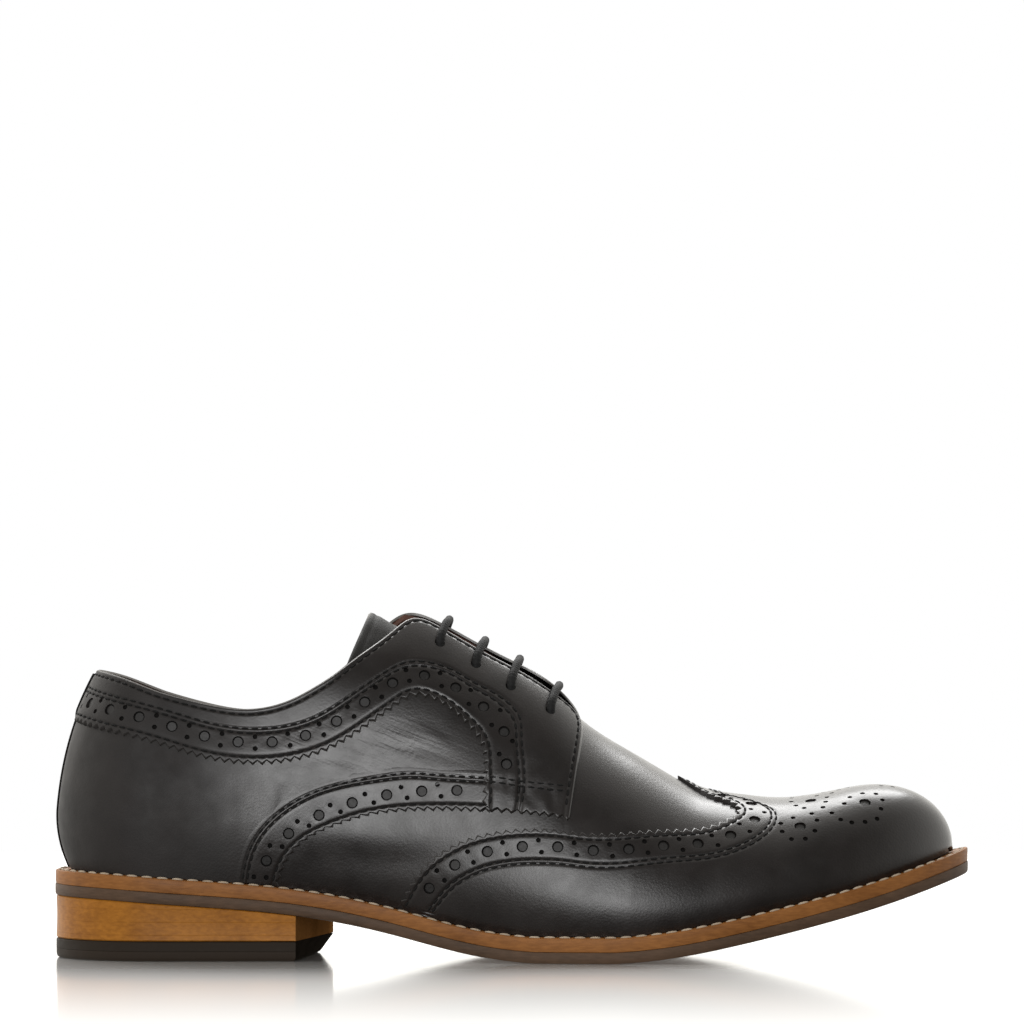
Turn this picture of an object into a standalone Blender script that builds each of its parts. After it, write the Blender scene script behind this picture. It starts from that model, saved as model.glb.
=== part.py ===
"""Black wing-tip brogue derby for the right foot, as its maker's separate pieces.

Lengths are millimetres: x runs from the back of the heel to the toe, y across the shoe with the medial
side positive, z up from the floor. Meshes are metres, with the origin on the floor under the middle.
"""
import math

import bmesh
import bpy
import numpy as np

# Driving dimensions
LENGTH = 306.0
GAP = 0.3
WALL = 1.8
OVERLAY = 1.1
OVERLAY_GAP = 0.7
OUTSOLE_THICK = 3.8
WELT_THICK = 4.8
INSOLE_THICK = 2.6
INSOLE_TAPER = 1.6
INSOLE_TOE_GAP = 3.0
TOP_PIECE_THICK = 6.6
EDGE_ROUND = 0.8
WELT_INSET = 0.5
HEEL_INSET = 0.9
TONGUE_THICK = 2.0
TONGUE_GAP = 1.2
LACE_DIAMETER = 2.6

LATERAL, MEDIAL = -1, 1
SIDES = (LATERAL, MEDIAL)

# Plan: the heel is a half ellipse behind HEEL_X, the toe a superellipse in front of each side's ball
HEEL_X = 36.0
BALL_X = {LATERAL: 192.0, MEDIAL: 212.0}
TOE_LEAN = 4.0
TOE_LEAN_FROM = 190.0
TOE_POWER = 1.7
TOE_ROUND = 2.0
UPPER_TIP = 299.0
FRONT_X = 240.0

# Half widths: x, outsole, widest line of the upper
PLAN = {
    LATERAL: (
        (36.0, 34.0, 32.0),
        (60.0, 33.6, 31.4),
        (90.0, 34.0, 31.5),
        (115.0, 37.0, 34.2),
        (145.0, 44.0, 40.4),
        (170.0, 49.6, 45.3),
        (192.0, 51.5, 46.8),
    ),
    MEDIAL: (
        (36.0, 33.5, 31.6),
        (60.0, 32.4, 30.6),
        (90.0, 29.6, 28.4),
        (115.0, 28.4, 27.6),
        (145.0, 34.0, 32.2),
        (170.0, 42.8, 39.6),
        (192.0, 49.4, 45.0),
        (212.0, 51.5, 46.8),
    ),
}

# Underside of the sole: x, height above the floor. It is flat on the floor where it dips below zero
SOLE_LINE = (
    (0.0, 21.0), (20.0, 20.1), (40.0, 18.7), (75.0, 15.9), (95.0, 13.0), (115.0, 8.6), (128.0, 5.2),
    (142.0, 2.1), (156.0, 0.3), (166.0, -0.25), (182.0, -0.25), (194.0, 0.5), (206.0, 1.9),
    (221.0, 4.6), (236.0, 7.9), (251.0, 11.5), (266.0, 15.3), (281.0, 19.4), (306.0, 27.4),
)

# Sections of the last: x, ridge height, fullness and roundness of the crown, tuck at the feather line
LAST = (
    (36.0, 124.0, 3.4, 1.1, 2.0),
    (66.0, 124.0, 3.4, 1.3, 2.4),
    (90.0, 122.3, 3.0, 1.6, 3.0),
    (105.0, 118.2, 2.6, 1.8, 3.3),
    (118.0, 116.6, 2.3, 2.0, 3.4),
    (132.0, 111.8, 2.2, 2.0, 3.3),
    (150.0, 100.6, 2.1, 2.0, 3.0),
    (168.0, 87.0, 2.0, 2.0, 2.4),
    (177.0, 79.6, 1.95, 2.0, 2.1),
    (186.0, 73.2, 1.95, 2.0, 1.9),
    (196.0, 67.2, 1.95, 2.0, 1.7),
    (208.0, 60.2, 2.0, 2.0, 1.5),
    (218.0, 56.2, 2.0, 2.1, 1.4),
    (228.0, 54.0, 2.1, 2.2, 1.3),
    (244.0, 52.1, 2.2, 2.3, 1.2),
    (256.0, 53.1, 2.3, 2.4, 1.1),
    (270.0, 55.4, 2.4, 2.4, 1.0),
    (290.0, 58.4, 2.4, 2.4, 0.8),
)
HEEL_BACK_REACH, HEEL_BACK_FULLNESS, HEEL_BACK_TUCK = 36.4, 2.3, 4.0
BELLY = 0.22
DOME_X = 264.0
DOME_POWER = 2.6
TUCK_FADE_WIDTH = 20.0

# Topline of the collar: x on the feather line, height
TOPLINE = (
    (4.0, 95.2), (20.0, 93.2), (36.0, 88.8), (55.0, 83.9), (66.0, 82.5), (77.0, 84.3), (88.0, 89.8),
    (98.4, 96.8), (111.6, 107.6), (120.0, 112.4), (132.0, 118.0),
)
MEDIAL_RISE = ((4.0, 0.0), (40.0, -0.9), (85.0, -0.9), (118.0, 2.2), (132.0, 3.0))
THROAT_X = 170.0
THROAT_TOP_X = 118.0
THROAT_BLEND = 10.0
THROAT_HALF_TOP = {LATERAL: 10.0, MEDIAL: 6.5}
THROAT_HALF_FRONT = 6.5

# Lower edge of the collar and eyelet overlay, then of its front tab: x, height
FACING_EDGE = (
    (4.0, 78.6), (18.6, 75.6), (33.5, 72.0), (50.0, 67.2), (66.0, 65.8), (80.0, 67.4), (93.0, 71.8),
    (106.0, 80.0), (114.6, 86.0), (121.0, 89.0), (132.0, 84.4), (139.7, 77.6), (144.0, 73.0),
    (160.0, 68.0), (172.0, 66.0),
)
TAB_REAR_X, FACING_FRONT_X = 144.0, 172.0
TAB_BOTTOM = ((144.0, 51.6), (157.0, 50.0), (172.0, 47.8))
TAB_SLANT = 4.5
SEAM_GAP = 0.004
FACING_LIFT = 3.6
FACING_LIFT_FROM_X = 138.0
FACING_LIFT_FROM_HEIGHT = 0.55

# Punched band over the side seam: upper edge x and height, lower edge x and height
SIDE_BAND = (
    (63.5, 26.0, 75.4, 25.0),
    (65.0, 33.8, 78.2, 33.8),
    (69.4, 42.8, 84.8, 40.8),
    (79.0, 51.7, 93.6, 45.2),
    (93.5, 58.5, 105.6, 49.4),
    (111.4, 62.4, 119.0, 51.4),
    (128.2, 62.8, 131.5, 52.0),
    (143.4, 61.0, 143.4, 51.7),
)

# Rear edge of the wing cap: x, share of the height from feather line to ridge
WING_EDGE = (
    (115.0, 0.0), (117.5, 0.06), (121.9, 0.14), (129.6, 0.23), (138.0, 0.30), (148.4, 0.363),
    (161.0, 0.42), (176.5, 0.48), (190.6, 0.552), (204.7, 0.642), (217.0, 0.725), (226.5, 0.807),
    (231.0, 0.885), (229.5, 0.93), (222.0, 0.965), (208.5, 1.0),
)

HEEL_BREAST = {LATERAL: 81.3, MEDIAL: 92.5}
TOP_PIECE_CORNER = 4.5

TONGUE_FRONT_X, TONGUE_TOP_X, TONGUE_CORNER_X = 182.0, 105.0, 99.0
TONGUE_HALF = 21.0

EYELETS_X = (129.5, 141.5, 153.5, 165.5)
EYELET_OFFSET = 17.0
LACE_SLANT = 3.0

MATERIALS = {
    "black_leather": ((0.025, 0.023, 0.024), 0.32),
    "tan_welt": ((0.27, 0.11, 0.035), 0.5),
    "brown_sole": ((0.075, 0.045, 0.03), 0.55),
    "heel_wood": ((0.32, 0.13, 0.018), 0.45),
    "black_rubber": ((0.02, 0.018, 0.017), 0.7),
    "lining": ((0.14, 0.045, 0.02), 0.6),
    "lace_cotton": ((0.012, 0.012, 0.013), 0.75),
}


def spline(rows, at, column=1):
    """Natural cubic spline through one column of a table whose first column rises."""
    xs = np.array([row[0] for row in rows])
    ys = np.array([row[column] for row in rows])
    steps = np.diff(xs)
    slopes = np.diff(ys) / steps
    system = np.eye(len(xs))
    right = np.zeros(len(xs))
    for i in range(1, len(xs) - 1):
        system[i, i - 1:i + 2] = steps[i - 1], 2 * (steps[i - 1] + steps[i]), steps[i]
        right[i] = 6 * (slopes[i] - slopes[i - 1])
    bend = np.linalg.solve(system, right)
    at = np.asarray(at, dtype=float)
    i = np.clip(np.searchsorted(xs, at) - 1, 0, len(xs) - 2)
    before, after, step = at - xs[i], xs[i + 1] - at, steps[i]
    cubic = (bend[i] * after ** 3 + bend[i + 1] * before ** 3) / (6 * step)
    left = (ys[i] / step - bend[i] * step / 6) * after
    return cubic + left + (ys[i + 1] / step - bend[i + 1] * step / 6) * before


def ramp(value, start, end):
    """Smooth rise from 0 at start to 1 at end."""
    t = np.clip((value - start) / (end - start), 0.0, 1.0)
    return t * t * (3 - 2 * t)


def sole_bottom(x):
    """Height of the outsole's underside."""
    return np.maximum(spline(SOLE_LINE, np.clip(x, 0.0, LENGTH)), 0.0)


def joint_line(x):
    """Height of the joint between outsole and welt."""
    return sole_bottom(x) + OUTSOLE_THICK


def feather(x):
    """Height of the upper's lower edge, just above the welt."""
    return joint_line(x) + WELT_THICK + GAP


def centre(x):
    """Sideways place of the centreline, which leans to the medial side at the toe."""
    t = np.clip((x - TOE_LEAN_FROM) / (LENGTH - TOE_LEAN_FROM), 0.0, 1.0)
    return TOE_LEAN * t * t


def half_width(x, side, column, tip, grow=0.0):
    """Half width of the outsole (column 1) or of the upper (column 2) at x, grown outwards all round."""
    rows = PLAN[side]
    ball = BALL_X[side]
    if x < HEEL_X:
        reach = max(0.0, 1 - ((HEEL_X - x) / (HEEL_X + grow)) ** 2)
        return (rows[0][column] + grow) * math.sqrt(reach)
    if x <= ball:
        return float(spline(rows, x, column)) + grow
    share = min(1.0, (x - ball) / (tip + grow - ball))
    return (rows[-1][column] + grow) * (1 - share ** TOE_POWER) ** (1 / TOE_ROUND)


def ridge(x, grow):
    """Height of the closed last's ridge, which falls to the feather line at the toe."""
    share = np.clip((x - DOME_X) / (UPPER_TIP + grow - DOME_X), 0.0, 1.0)
    dome = np.sqrt(1 - share ** DOME_POWER)
    return feather(x) + (spline(LAST, x) + grow - feather(x)) * dome


def profile(width, fullness, roundness, tuck, height):
    """Half width at a share of the height: a crown above the belly and a tuck below it."""
    crown = width * np.maximum(1 - height ** fullness, 0.0) ** (1 / roundness)
    return crown - tuck * np.maximum(1 - height / BELLY, 0.0) ** 2


def section_values(x, side, grow):
    """Width, fullness, roundness and tuck of the last's section at x."""
    width = half_width(x, side, 2, UPPER_TIP, grow)
    fullness, roundness, tuck = (float(spline(LAST, x, column)) for column in (2, 3, 4))
    return width, fullness, roundness, tuck * min(1.0, width / TUCK_FADE_WIDTH)


def last_point(x, height, side, grow=0.0):
    """Point on the last grown by some millimetres; height is a share from feather line (0) to ridge (1)."""
    if x < HEEL_X:
        turn = (HEEL_X - x) / (HEEL_BACK_REACH - HEEL_BACK_TUCK)
        around = math.sqrt(max(0.0, 1 - turn * turn))
        back = profile(HEEL_BACK_REACH + grow, HEEL_BACK_FULLNESS, 1.0, HEEL_BACK_TUCK, height)
        across = profile(*section_values(HEEL_X, side, grow), height)
        top = LAST[0][1] + grow
        low = float(feather(x))
        return (HEEL_X - back * turn, side * across * around, low + (top - low) * height)
    x = x + grow * np.clip((x - FRONT_X) / (UPPER_TIP - FRONT_X), 0.0, 1.0) ** 2
    across = profile(*section_values(x, side, grow), height)
    low = float(feather(x))
    return (x, float(centre(x)) + side * across, low + (float(ridge(x, grow)) - low) * height)


def height_at(x, z):
    """Share of the height that lies at z in the section at x."""
    top = LAST[0][1] if x < HEEL_X else float(ridge(x, 0.0))
    low = float(feather(x))
    return (z - low) / (top - low)


def height_at_offset(x, side, offset, grow=0.0):
    """Share of the height where the crown lies at an offset from the centreline."""
    width, fullness, roundness, _ = section_values(x, side, grow)
    return (1 - min(1.0, offset / width) ** roundness) ** (1 / fullness)


def collar_height(x, side):
    """Share of the height of the upper's top edge: collar, then throat, then the closed ridge."""
    if x > THROAT_X:
        return 1.0
    along = min(x, TOPLINE[-1][0])
    topline = float(spline(TOPLINE, along))
    if side == MEDIAL:
        topline += float(spline(MEDIAL_RISE, max(along, MEDIAL_RISE[0][0])))
    if x < THROAT_TOP_X - THROAT_BLEND:
        return height_at(x, topline)
    slope = (x - THROAT_TOP_X) / (THROAT_X - THROAT_TOP_X)
    offset = THROAT_HALF_TOP[side] + (THROAT_HALF_FRONT - THROAT_HALF_TOP[side]) * slope
    return min(height_at_offset(x, side, offset), height_at(x, topline))


def even_heights(x, side, low, high, count):
    """Shares of the height from low to high that are evenly spaced along the section."""
    fine = low + (high - low) * np.sin(np.linspace(0, math.pi / 2, 121))
    points = np.array([last_point(x, height, side) for height in fine])
    run = np.concatenate(([0.0], np.cumsum(np.linalg.norm(np.diff(points, axis=0), axis=1))))
    return np.interp(np.linspace(0, run[-1], count + 1), run, fine)


def heel_stations(count, start):
    """Stations round the heel, from its back to HEEL_X, evenly turned."""
    return [HEEL_X - (HEEL_X - start) * math.cos(math.pi / 2 * i / count) for i in range(count)]


def toe_stations(count, start, tip):
    """Stations from start to the toe's tip, closer towards the tip."""
    return [start + (tip - start) * math.sin(math.pi / 2 * i / count) for i in range(count + 1)]


def mesh_object(name, points, faces, material):
    """Object in metres from points in millimetres, with its normals outwards."""
    mesh = bpy.data.meshes.new(name)
    bm = bmesh.new()
    for x, y, z in points:
        bm.verts.new(((x - LENGTH / 2) * 0.001, y * 0.001, z * 0.001))
    bm.verts.ensure_lookup_table()
    for face in faces:
        bm.faces.new([bm.verts[i] for i in face])
    bmesh.ops.recalc_face_normals(bm, faces=bm.faces)
    bm.to_mesh(mesh)
    bm.free()
    mesh.shade_smooth()
    mesh.set_sharp_from_angle(angle=math.radians(35))
    return add_object(name, mesh, material)


def add_object(name, data, material):
    """Object in the shoe's collection with its own material."""
    colour, roughness = MATERIALS[material]
    finish = bpy.data.materials.new(name)
    finish.use_nodes = True
    shader = finish.node_tree.nodes["Principled BSDF"]
    shader.inputs["Base Color"].default_value = (*colour, 1.0)
    shader.inputs["Roughness"].default_value = roughness
    shader.inputs["Metallic"].default_value = 0.0
    data.materials.append(finish)
    part = bpy.data.objects.new(name, data)
    SHOE.objects.link(part)
    return part


def closed_skin(name, outer_patches, inner_patches, material):
    """Solid between two matching sets of point grids, whose shared edges are joined."""
    index, outer, inner, faces = {}, [], [], []

    def place(point, partner):
        key = tuple(np.round(point, 3))
        if key not in index:
            index[key] = len(outer)
            outer.append(point)
            inner.append(partner)
        return index[key]

    for grid, partner_grid in zip(outer_patches, inner_patches):
        ids = [[place(p, q) for p, q in zip(row, partners)] for row, partners in zip(grid, partner_grid)]
        for row, following in zip(ids, ids[1:]):
            for k in range(len(row) - 1):
                corners = dict.fromkeys((row[k], row[k + 1], following[k + 1], following[k]))
                if len(corners) > 2:
                    faces.append(list(corners))
    uses = {}
    for face in faces:
        for a, b in zip(face, face[1:] + face[:1]):
            uses.setdefault(frozenset((a, b)), []).append((a, b))
    count = len(outer)
    walls = [(a, a + count, b + count, b) for (a, b), *more in uses.values() if not more]
    lower = [[i + count for i in reversed(face)] for face in faces]
    return mesh_object(name, outer + inner, faces + lower + walls, material)


def loft(name, rings, material):
    """Solid through rings of points, capped at both ends; points that coincide are joined."""
    index, points, faces = {}, [], []

    def place(point):
        key = tuple(np.round(point, 3))
        if key not in index:
            index[key] = len(points)
            points.append(point)
        return index[key]

    ids = [[place(point) for point in ring] for ring in rings]
    for ring, following in zip(ids, ids[1:]):
        for k in range(len(ring)):
            after = (k + 1) % len(ring)
            corners = dict.fromkeys((ring[k], ring[after], following[after], following[k]))
            if len(corners) > 2:
                faces.append(list(corners))
    for ring in (ids[0], ids[-1]):
        if len(set(ring)) == len(ring):
            faces.append(ring)
    return mesh_object(name, points, faces, material)


def plate_ring(levels, x_of, half_of):
    """Ring of one plate section, down the lateral edge and up the medial; a level ends with its height."""
    ring = []
    for side in SIDES:
        for level in levels if side == LATERAL else reversed(levels):
            x = x_of(side, level)
            y = float(centre(x)) + side * half_of(x, side, level)
            ring.append((x, y, float(level[-1](x))))
    return ring


def sole_half(x, side, level):
    """Half width of the outsole's outline, grown by the level's first value."""
    return half_width(x, side, 1, LENGTH, level[0])


def sole_plate(name, levels, material):
    """Plate with the outsole's outline; levels give growth of the outline and height, from the top down."""
    stations = heel_stations(7, 0.0) + list(np.linspace(HEEL_X, FRONT_X, 24)[:-1])
    rings = []
    for station in stations + toe_stations(9, FRONT_X, LENGTH):
        def x_of(side, level, share=station / LENGTH):
            return share * (LENGTH + 2 * level[0]) - level[0]

        rings.append(plate_ring(levels, x_of, sole_half))
    return loft(name, rings, material)


def heel_plate(name, levels, material):
    """Lift of the heel; levels give growth, setback of the breast, cut of its medial corner, and height."""
    rings = []
    for turn in heel_stations(8, 0.0):
        def back_of(side, level, share=turn / HEEL_X):
            return share * (HEEL_X + level[0]) - level[0]

        rings.append(plate_ring(levels, back_of, sole_half))
    for share in np.linspace(0, 1, 5):
        def front_of(side, level, share=share):
            corner = level[2] if side == MEDIAL else 0.0
            return HEEL_X + share * (HEEL_BREAST[side] - level[1] - corner - HEEL_X)

        rings.append(plate_ring(levels, front_of, sole_half))
    return loft(name, rings, material)


def build_sole():
    """Outsole, welt, heel block and top piece."""
    sole_plate("outsole", (
        (-EDGE_ROUND, joint_line),
        (0.0, lambda x: joint_line(x) - EDGE_ROUND),
        (0.0, lambda x: sole_bottom(x) + EDGE_ROUND),
        (-EDGE_ROUND, sole_bottom),
    ), "brown_sole")
    sole_plate("welt", (
        (-WELT_INSET - EDGE_ROUND, lambda x: joint_line(x) + WELT_THICK),
        (-WELT_INSET, lambda x: joint_line(x) + WELT_THICK - EDGE_ROUND),
        (-WELT_INSET, lambda x: joint_line(x) + GAP + EDGE_ROUND),
        (-WELT_INSET - EDGE_ROUND, lambda x: joint_line(x) + GAP),
    ), "tan_welt")
    heel_plate("heel_block", (
        (-HEEL_INSET, 0.0, 0.0, lambda x: sole_bottom(x) - GAP),
        (-HEEL_INSET, 0.0, 0.0, lambda x: TOP_PIECE_THICK + GAP),
    ), "heel_wood")
    heel_plate("heel_top_piece", (
        (-HEEL_INSET, 0.0, 0.0, lambda x: TOP_PIECE_THICK),
        (-HEEL_INSET, 0.0, TOP_PIECE_CORNER - EDGE_ROUND, lambda x: EDGE_ROUND),
        (-HEEL_INSET - EDGE_ROUND, EDGE_ROUND, TOP_PIECE_CORNER, lambda x: 0.0),
    ), "black_rubber")


def build_insole():
    """Insole that fills the upper's floor inside its wall."""
    reach = HEEL_BACK_REACH - HEEL_BACK_TUCK
    inset = WALL + GAP
    levels = (
        (-inset - INSOLE_TAPER, lambda x: feather(x) + INSOLE_THICK),
        (-inset, feather),
    )

    def half_of(x, side, level):
        width, _, _, tuck = section_values(max(x, HEEL_X), side, level[0])
        behind = max(0.0, HEEL_X - x) / (reach + level[0])
        return (width - tuck) * math.sqrt(max(0.0, 1 - behind ** 2))

    stations = heel_stations(6, HEEL_X - reach) + list(np.linspace(HEEL_X, FRONT_X, 18)[:-1])
    rings = []
    for station in stations + toe_stations(7, FRONT_X, UPPER_TIP - INSOLE_TOE_GAP):
        def x_of(side, level, station=station):
            behind = max(0.0, HEEL_X - station) / reach
            ahead = max(0.0, station - FRONT_X) / (UPPER_TIP - FRONT_X)
            return station + level[0] * (ahead - behind)

        rings.append(plate_ring(levels, x_of, half_of))
    loft("insole", rings, "lining")


def section_patch(stations, side, low_of, high_of, rows, grow_of, slant_of=lambda x, height: 0.0):
    """Grid of last points, a row of evenly spaced heights for each station."""
    grid = []
    for x in stations:
        line = []
        for height in even_heights(x, side, low_of(x), high_of(x), rows):
            line.append(last_point(x + slant_of(x, height), height, side, grow_of(x, height)))
        grid.append(line)
    return grid


def build_upper():
    """Hollow upper, open at collar, throat and underneath."""
    start = HEEL_X - (HEEL_BACK_REACH - HEEL_BACK_TUCK)
    stations = heel_stations(6, start) + list(np.linspace(HEEL_X, THROAT_X, 17))
    stations += list(np.linspace(THROAT_X + 3.0, 240.0, 9)[:-1]) + toe_stations(9, 240.0, UPPER_TIP)
    outer, inner = [], []
    for side in SIDES:
        for patches, grow in ((outer, 0.0), (inner, -WALL)):
            patches.append(section_patch(
                stations, side, lambda x: 0.0, lambda x: collar_height(x, side), 10, lambda x, h: grow))
    closed_skin("upper", outer, inner, "black_leather")


def facing_lift(x, height):
    """Rise of the eyelet tabs off the vamp towards their front corner."""
    along = ramp(x, FACING_LIFT_FROM_X, FACING_FRONT_X)
    return FACING_LIFT * along * ramp(height, FACING_LIFT_FROM_HEIGHT, 1.0)


def tab_slant(x, height):
    """Forward lean of the eyelet tab's front edge, from its foot to its top."""
    return TAB_SLANT * ramp(x, TAB_REAR_X, FACING_FRONT_X) * (2 * height - 1)


def build_facing(side, name):
    """Collar and eyelet overlay of one side, with the tab that runs down to the vamp."""
    start = HEEL_X - (HEEL_BACK_REACH - HEEL_BACK_TUCK)
    seam = [start + SEAM_GAP] + heel_stations(7, start)[1:]
    rear = seam + list(np.linspace(HEEL_X, TAB_REAR_X, 18)[:-1])
    front = list(np.linspace(TAB_REAR_X, FACING_FRONT_X, 6))
    outer, inner = [], []
    for patches, base in ((outer, OVERLAY_GAP + OVERLAY), (inner, OVERLAY_GAP)):
        def grow_of(x, height):
            return base + facing_lift(x, height)

        def edge(x):
            return height_at(x, float(spline(FACING_EDGE, x)))

        def top(x):
            return collar_height(min(x, THROAT_X), side)

        patches.append(section_patch(rear + front, side, edge, top, 5, grow_of, tab_slant))
        patches.append(section_patch(
            front, side, lambda x: height_at(x, float(spline(TAB_BOTTOM, x))), edge, 3, grow_of, tab_slant))
    return closed_skin(name, outer, inner, "black_leather")


def build_side_band(side, name):
    """Punched band that runs from the welt up over the side seam to the eyelet tab."""
    rows = [(i, *row) for i, row in enumerate(SIDE_BAND)]
    outer, inner = [], []
    for patches, grow in ((outer, OVERLAY_GAP + OVERLAY), (inner, OVERLAY_GAP)):
        grid = []
        for at in np.linspace(0, len(rows) - 1, 15):
            upper_x, upper_z, lower_x, lower_z = (float(spline(rows, at, c)) for c in (1, 2, 3, 4))
            line = []
            for share in np.linspace(0, 1, 4):
                x = upper_x + (lower_x - upper_x) * share
                height = max(0.0, height_at(x, upper_z + (lower_z - upper_z) * share))
                line.append(last_point(x, height, side, grow))
            grid.append(line)
        patches.append(grid)
    return closed_skin(name, outer, inner, "black_leather")


def build_wing_cap():
    """Toe cap whose wings sweep back along both sides of the vamp."""
    rows = [(height, x) for x, height in WING_EDGE]
    heights = [height for height, _ in rows]
    along = [1 - (1 - i / 17) ** 1.7 for i in range(18)]
    outer, inner = [], []
    for patches, grow in ((outer, OVERLAY_GAP + OVERLAY), (inner, OVERLAY_GAP)):
        for side in SIDES:
            grid = []
            for height in heights:
                edge = float(spline(rows, height))
                grid.append([last_point(edge + (UPPER_TIP - edge) * t, height, side, grow) for t in along])
            patches.append(grid)
    return closed_skin("wing_cap", outer, inner, "black_leather")


def build_tongue():
    """Tongue under the eyelet tabs, from inside the vamp to above the collar."""
    outer, inner = [], []
    for patches, grow in ((outer, -WALL - TONGUE_GAP), (inner, -WALL - TONGUE_GAP - TONGUE_THICK)):
        grid = []
        for across in np.linspace(-1, 1, 11):
            side = LATERAL if across < 0 else MEDIAL
            end = TONGUE_TOP_X + (TONGUE_CORNER_X - TONGUE_TOP_X) * across ** 2
            line = []
            for x in np.linspace(TONGUE_FRONT_X, end, 14):
                height = height_at_offset(x, side, TONGUE_HALF * abs(across), grow)
                line.append(last_point(x, height, side, grow))
            grid.append(line)
        patches.append(grid)
    return closed_skin("tongue", outer, inner, "black_leather")


def build_lace_bar(number, eyelet_x):
    """Straight bar of lace over the throat, between two eyelets."""
    curve = bpy.data.curves.new(f"lace_bar_{number}", "CURVE")
    curve.dimensions = "3D"
    curve.bevel_depth = LACE_DIAMETER / 2 * 0.001
    curve.bevel_resolution = 2
    curve.use_fill_caps = True
    path = curve.splines.new("POLY")
    stops = np.linspace(-1, 1, 9)
    path.points.add(len(stops) - 1)
    for point, across in zip(path.points, stops):
        side = LATERAL if across < 0 else MEDIAL
        x = eyelet_x + LACE_SLANT * (1 - across ** 2)
        height = height_at_offset(x, side, EYELET_OFFSET * abs(across))
        clear = OVERLAY_GAP + OVERLAY + 2 * GAP + LACE_DIAMETER / 2
        x, y, z = last_point(x, height, side, clear + facing_lift(x, height))
        point.co = ((x - LENGTH / 2) * 0.001, y * 0.001, z * 0.001, 1.0)
    return add_object(f"lace_bar_{number}", curve, "lace_cotton")


def clear_scene():
    """Removes every object of the scene."""
    for thing in list(bpy.data.objects):
        bpy.data.objects.remove(thing, do_unlink=True)


clear_scene()
SHOE = bpy.data.collections.new("brogue_derby")
bpy.context.scene.collection.children.link(SHOE)
build_sole()
build_insole()
build_upper()
build_wing_cap()
for hand, word in ((LATERAL, "lateral"), (MEDIAL, "medial")):
    build_facing(hand, f"facing_{word}")
    build_side_band(hand, f"side_band_{word}")
build_tongue()
for order, place_x in enumerate(EYELETS_X, start=1):
    build_lace_bar(order, place_x)
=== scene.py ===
"""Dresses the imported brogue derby: leather upper, punched overlays, welted sole, laces and a plain studio.

Lengths in the classes are millimetres: x runs from the back of the heel to the toe, y across the shoe with
the medial side positive, z up from the floor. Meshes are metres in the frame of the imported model.
"""
import logging
import math
from dataclasses import dataclass, field
from enum import Enum
from typing import Callable, Optional, Sequence

import bmesh
import bpy
import numpy as np
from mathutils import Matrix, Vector


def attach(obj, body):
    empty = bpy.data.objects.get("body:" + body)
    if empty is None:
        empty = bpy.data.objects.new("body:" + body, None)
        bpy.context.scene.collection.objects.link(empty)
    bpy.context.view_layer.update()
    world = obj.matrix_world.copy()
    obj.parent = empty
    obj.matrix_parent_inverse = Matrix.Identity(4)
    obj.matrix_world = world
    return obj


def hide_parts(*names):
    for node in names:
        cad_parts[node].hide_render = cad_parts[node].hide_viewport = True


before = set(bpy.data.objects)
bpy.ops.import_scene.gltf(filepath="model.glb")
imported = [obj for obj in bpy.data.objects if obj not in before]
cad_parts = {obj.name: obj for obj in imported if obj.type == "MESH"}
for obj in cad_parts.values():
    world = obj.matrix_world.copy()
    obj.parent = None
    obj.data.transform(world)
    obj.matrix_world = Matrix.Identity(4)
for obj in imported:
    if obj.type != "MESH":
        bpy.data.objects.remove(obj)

LOG = logging.getLogger("brogue_derby")
MM = 0.001
# Edges that bend more than these degrees stay sharp: on leather, on stitches and discs, and on the lace.
SHARP_ANGLE = 38.0
DRUM_ANGLE = 75.0
CORD_ANGLE = 60.0
# Metres within which points of sheets and of rings are joined, and under which an edge is dropped.
WELD = 2e-6
RING_WELD = 1e-6
SPECK = 1e-7
# Points of a smoothed line, and the step in millimetres that finds the slope of the leather at a hole.
LINE_SAMPLES = 1500
PROBE = 0.5
# Directions that no hole and no cord points in.
HOLE_ASLANT = (0.31, 0.17, 0.93)
CORD_ASLANT = (0.36, 0.48, 0.8)
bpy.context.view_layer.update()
Array = np.ndarray


class Side(Enum):
    """Side of a right shoe, with the sign of its y."""

    LATERAL = -1
    MEDIAL = 1


class Outline(Enum):
    """Outline in the plan, with its column in the plan's table."""

    SOLE = 1
    UPPER = 2


SIDES = (Side.LATERAL, Side.MEDIAL)


class Spline:
    """Natural cubic spline through one column of a table whose first column rises."""

    def __init__(self, rows: Sequence[Sequence[float]], column: int = 1) -> None:
        """Solves the spline once.

        Args:
            rows: Table of points, sorted by the first column.
            column: Column that holds the values.
        """
        self.xs = np.array([row[0] for row in rows], dtype=float)
        self.ys = np.array([row[column] for row in rows], dtype=float)
        self.steps = np.diff(self.xs)
        slopes = np.diff(self.ys) / self.steps
        system = np.eye(len(self.xs))
        right = np.zeros(len(self.xs))
        for i in range(1, len(self.xs) - 1):
            before, after = self.steps[i - 1], self.steps[i]
            system[i, i - 1:i + 2] = before, 2 * (before + after), after
            right[i] = 6 * (slopes[i] - slopes[i - 1])
        self.bend = np.linalg.solve(system, right)

    def __call__(self, at: Array) -> Array:
        """Values of the spline at one or many places."""
        at = np.asarray(at, dtype=float)
        i = np.clip(np.searchsorted(self.xs, at) - 1, 0, len(self.xs) - 2)
        before, after, step = at - self.xs[i], self.xs[i + 1] - at, self.steps[i]
        cubic = (self.bend[i] * after ** 3 + self.bend[i + 1] * before ** 3) / (6 * step)
        left = (self.ys[i] / step - self.bend[i] * step / 6) * after
        return cubic + left + (self.ys[i + 1] / step - self.bend[i + 1] * step / 6) * before


def ramp(value: Array, start: float, end: float) -> Array:
    """Smooth rise from 0 at start to 1 at end."""
    t = np.clip((value - start) / (end - start), 0.0, 1.0)
    return t * t * (3 - 2 * t)


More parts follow.
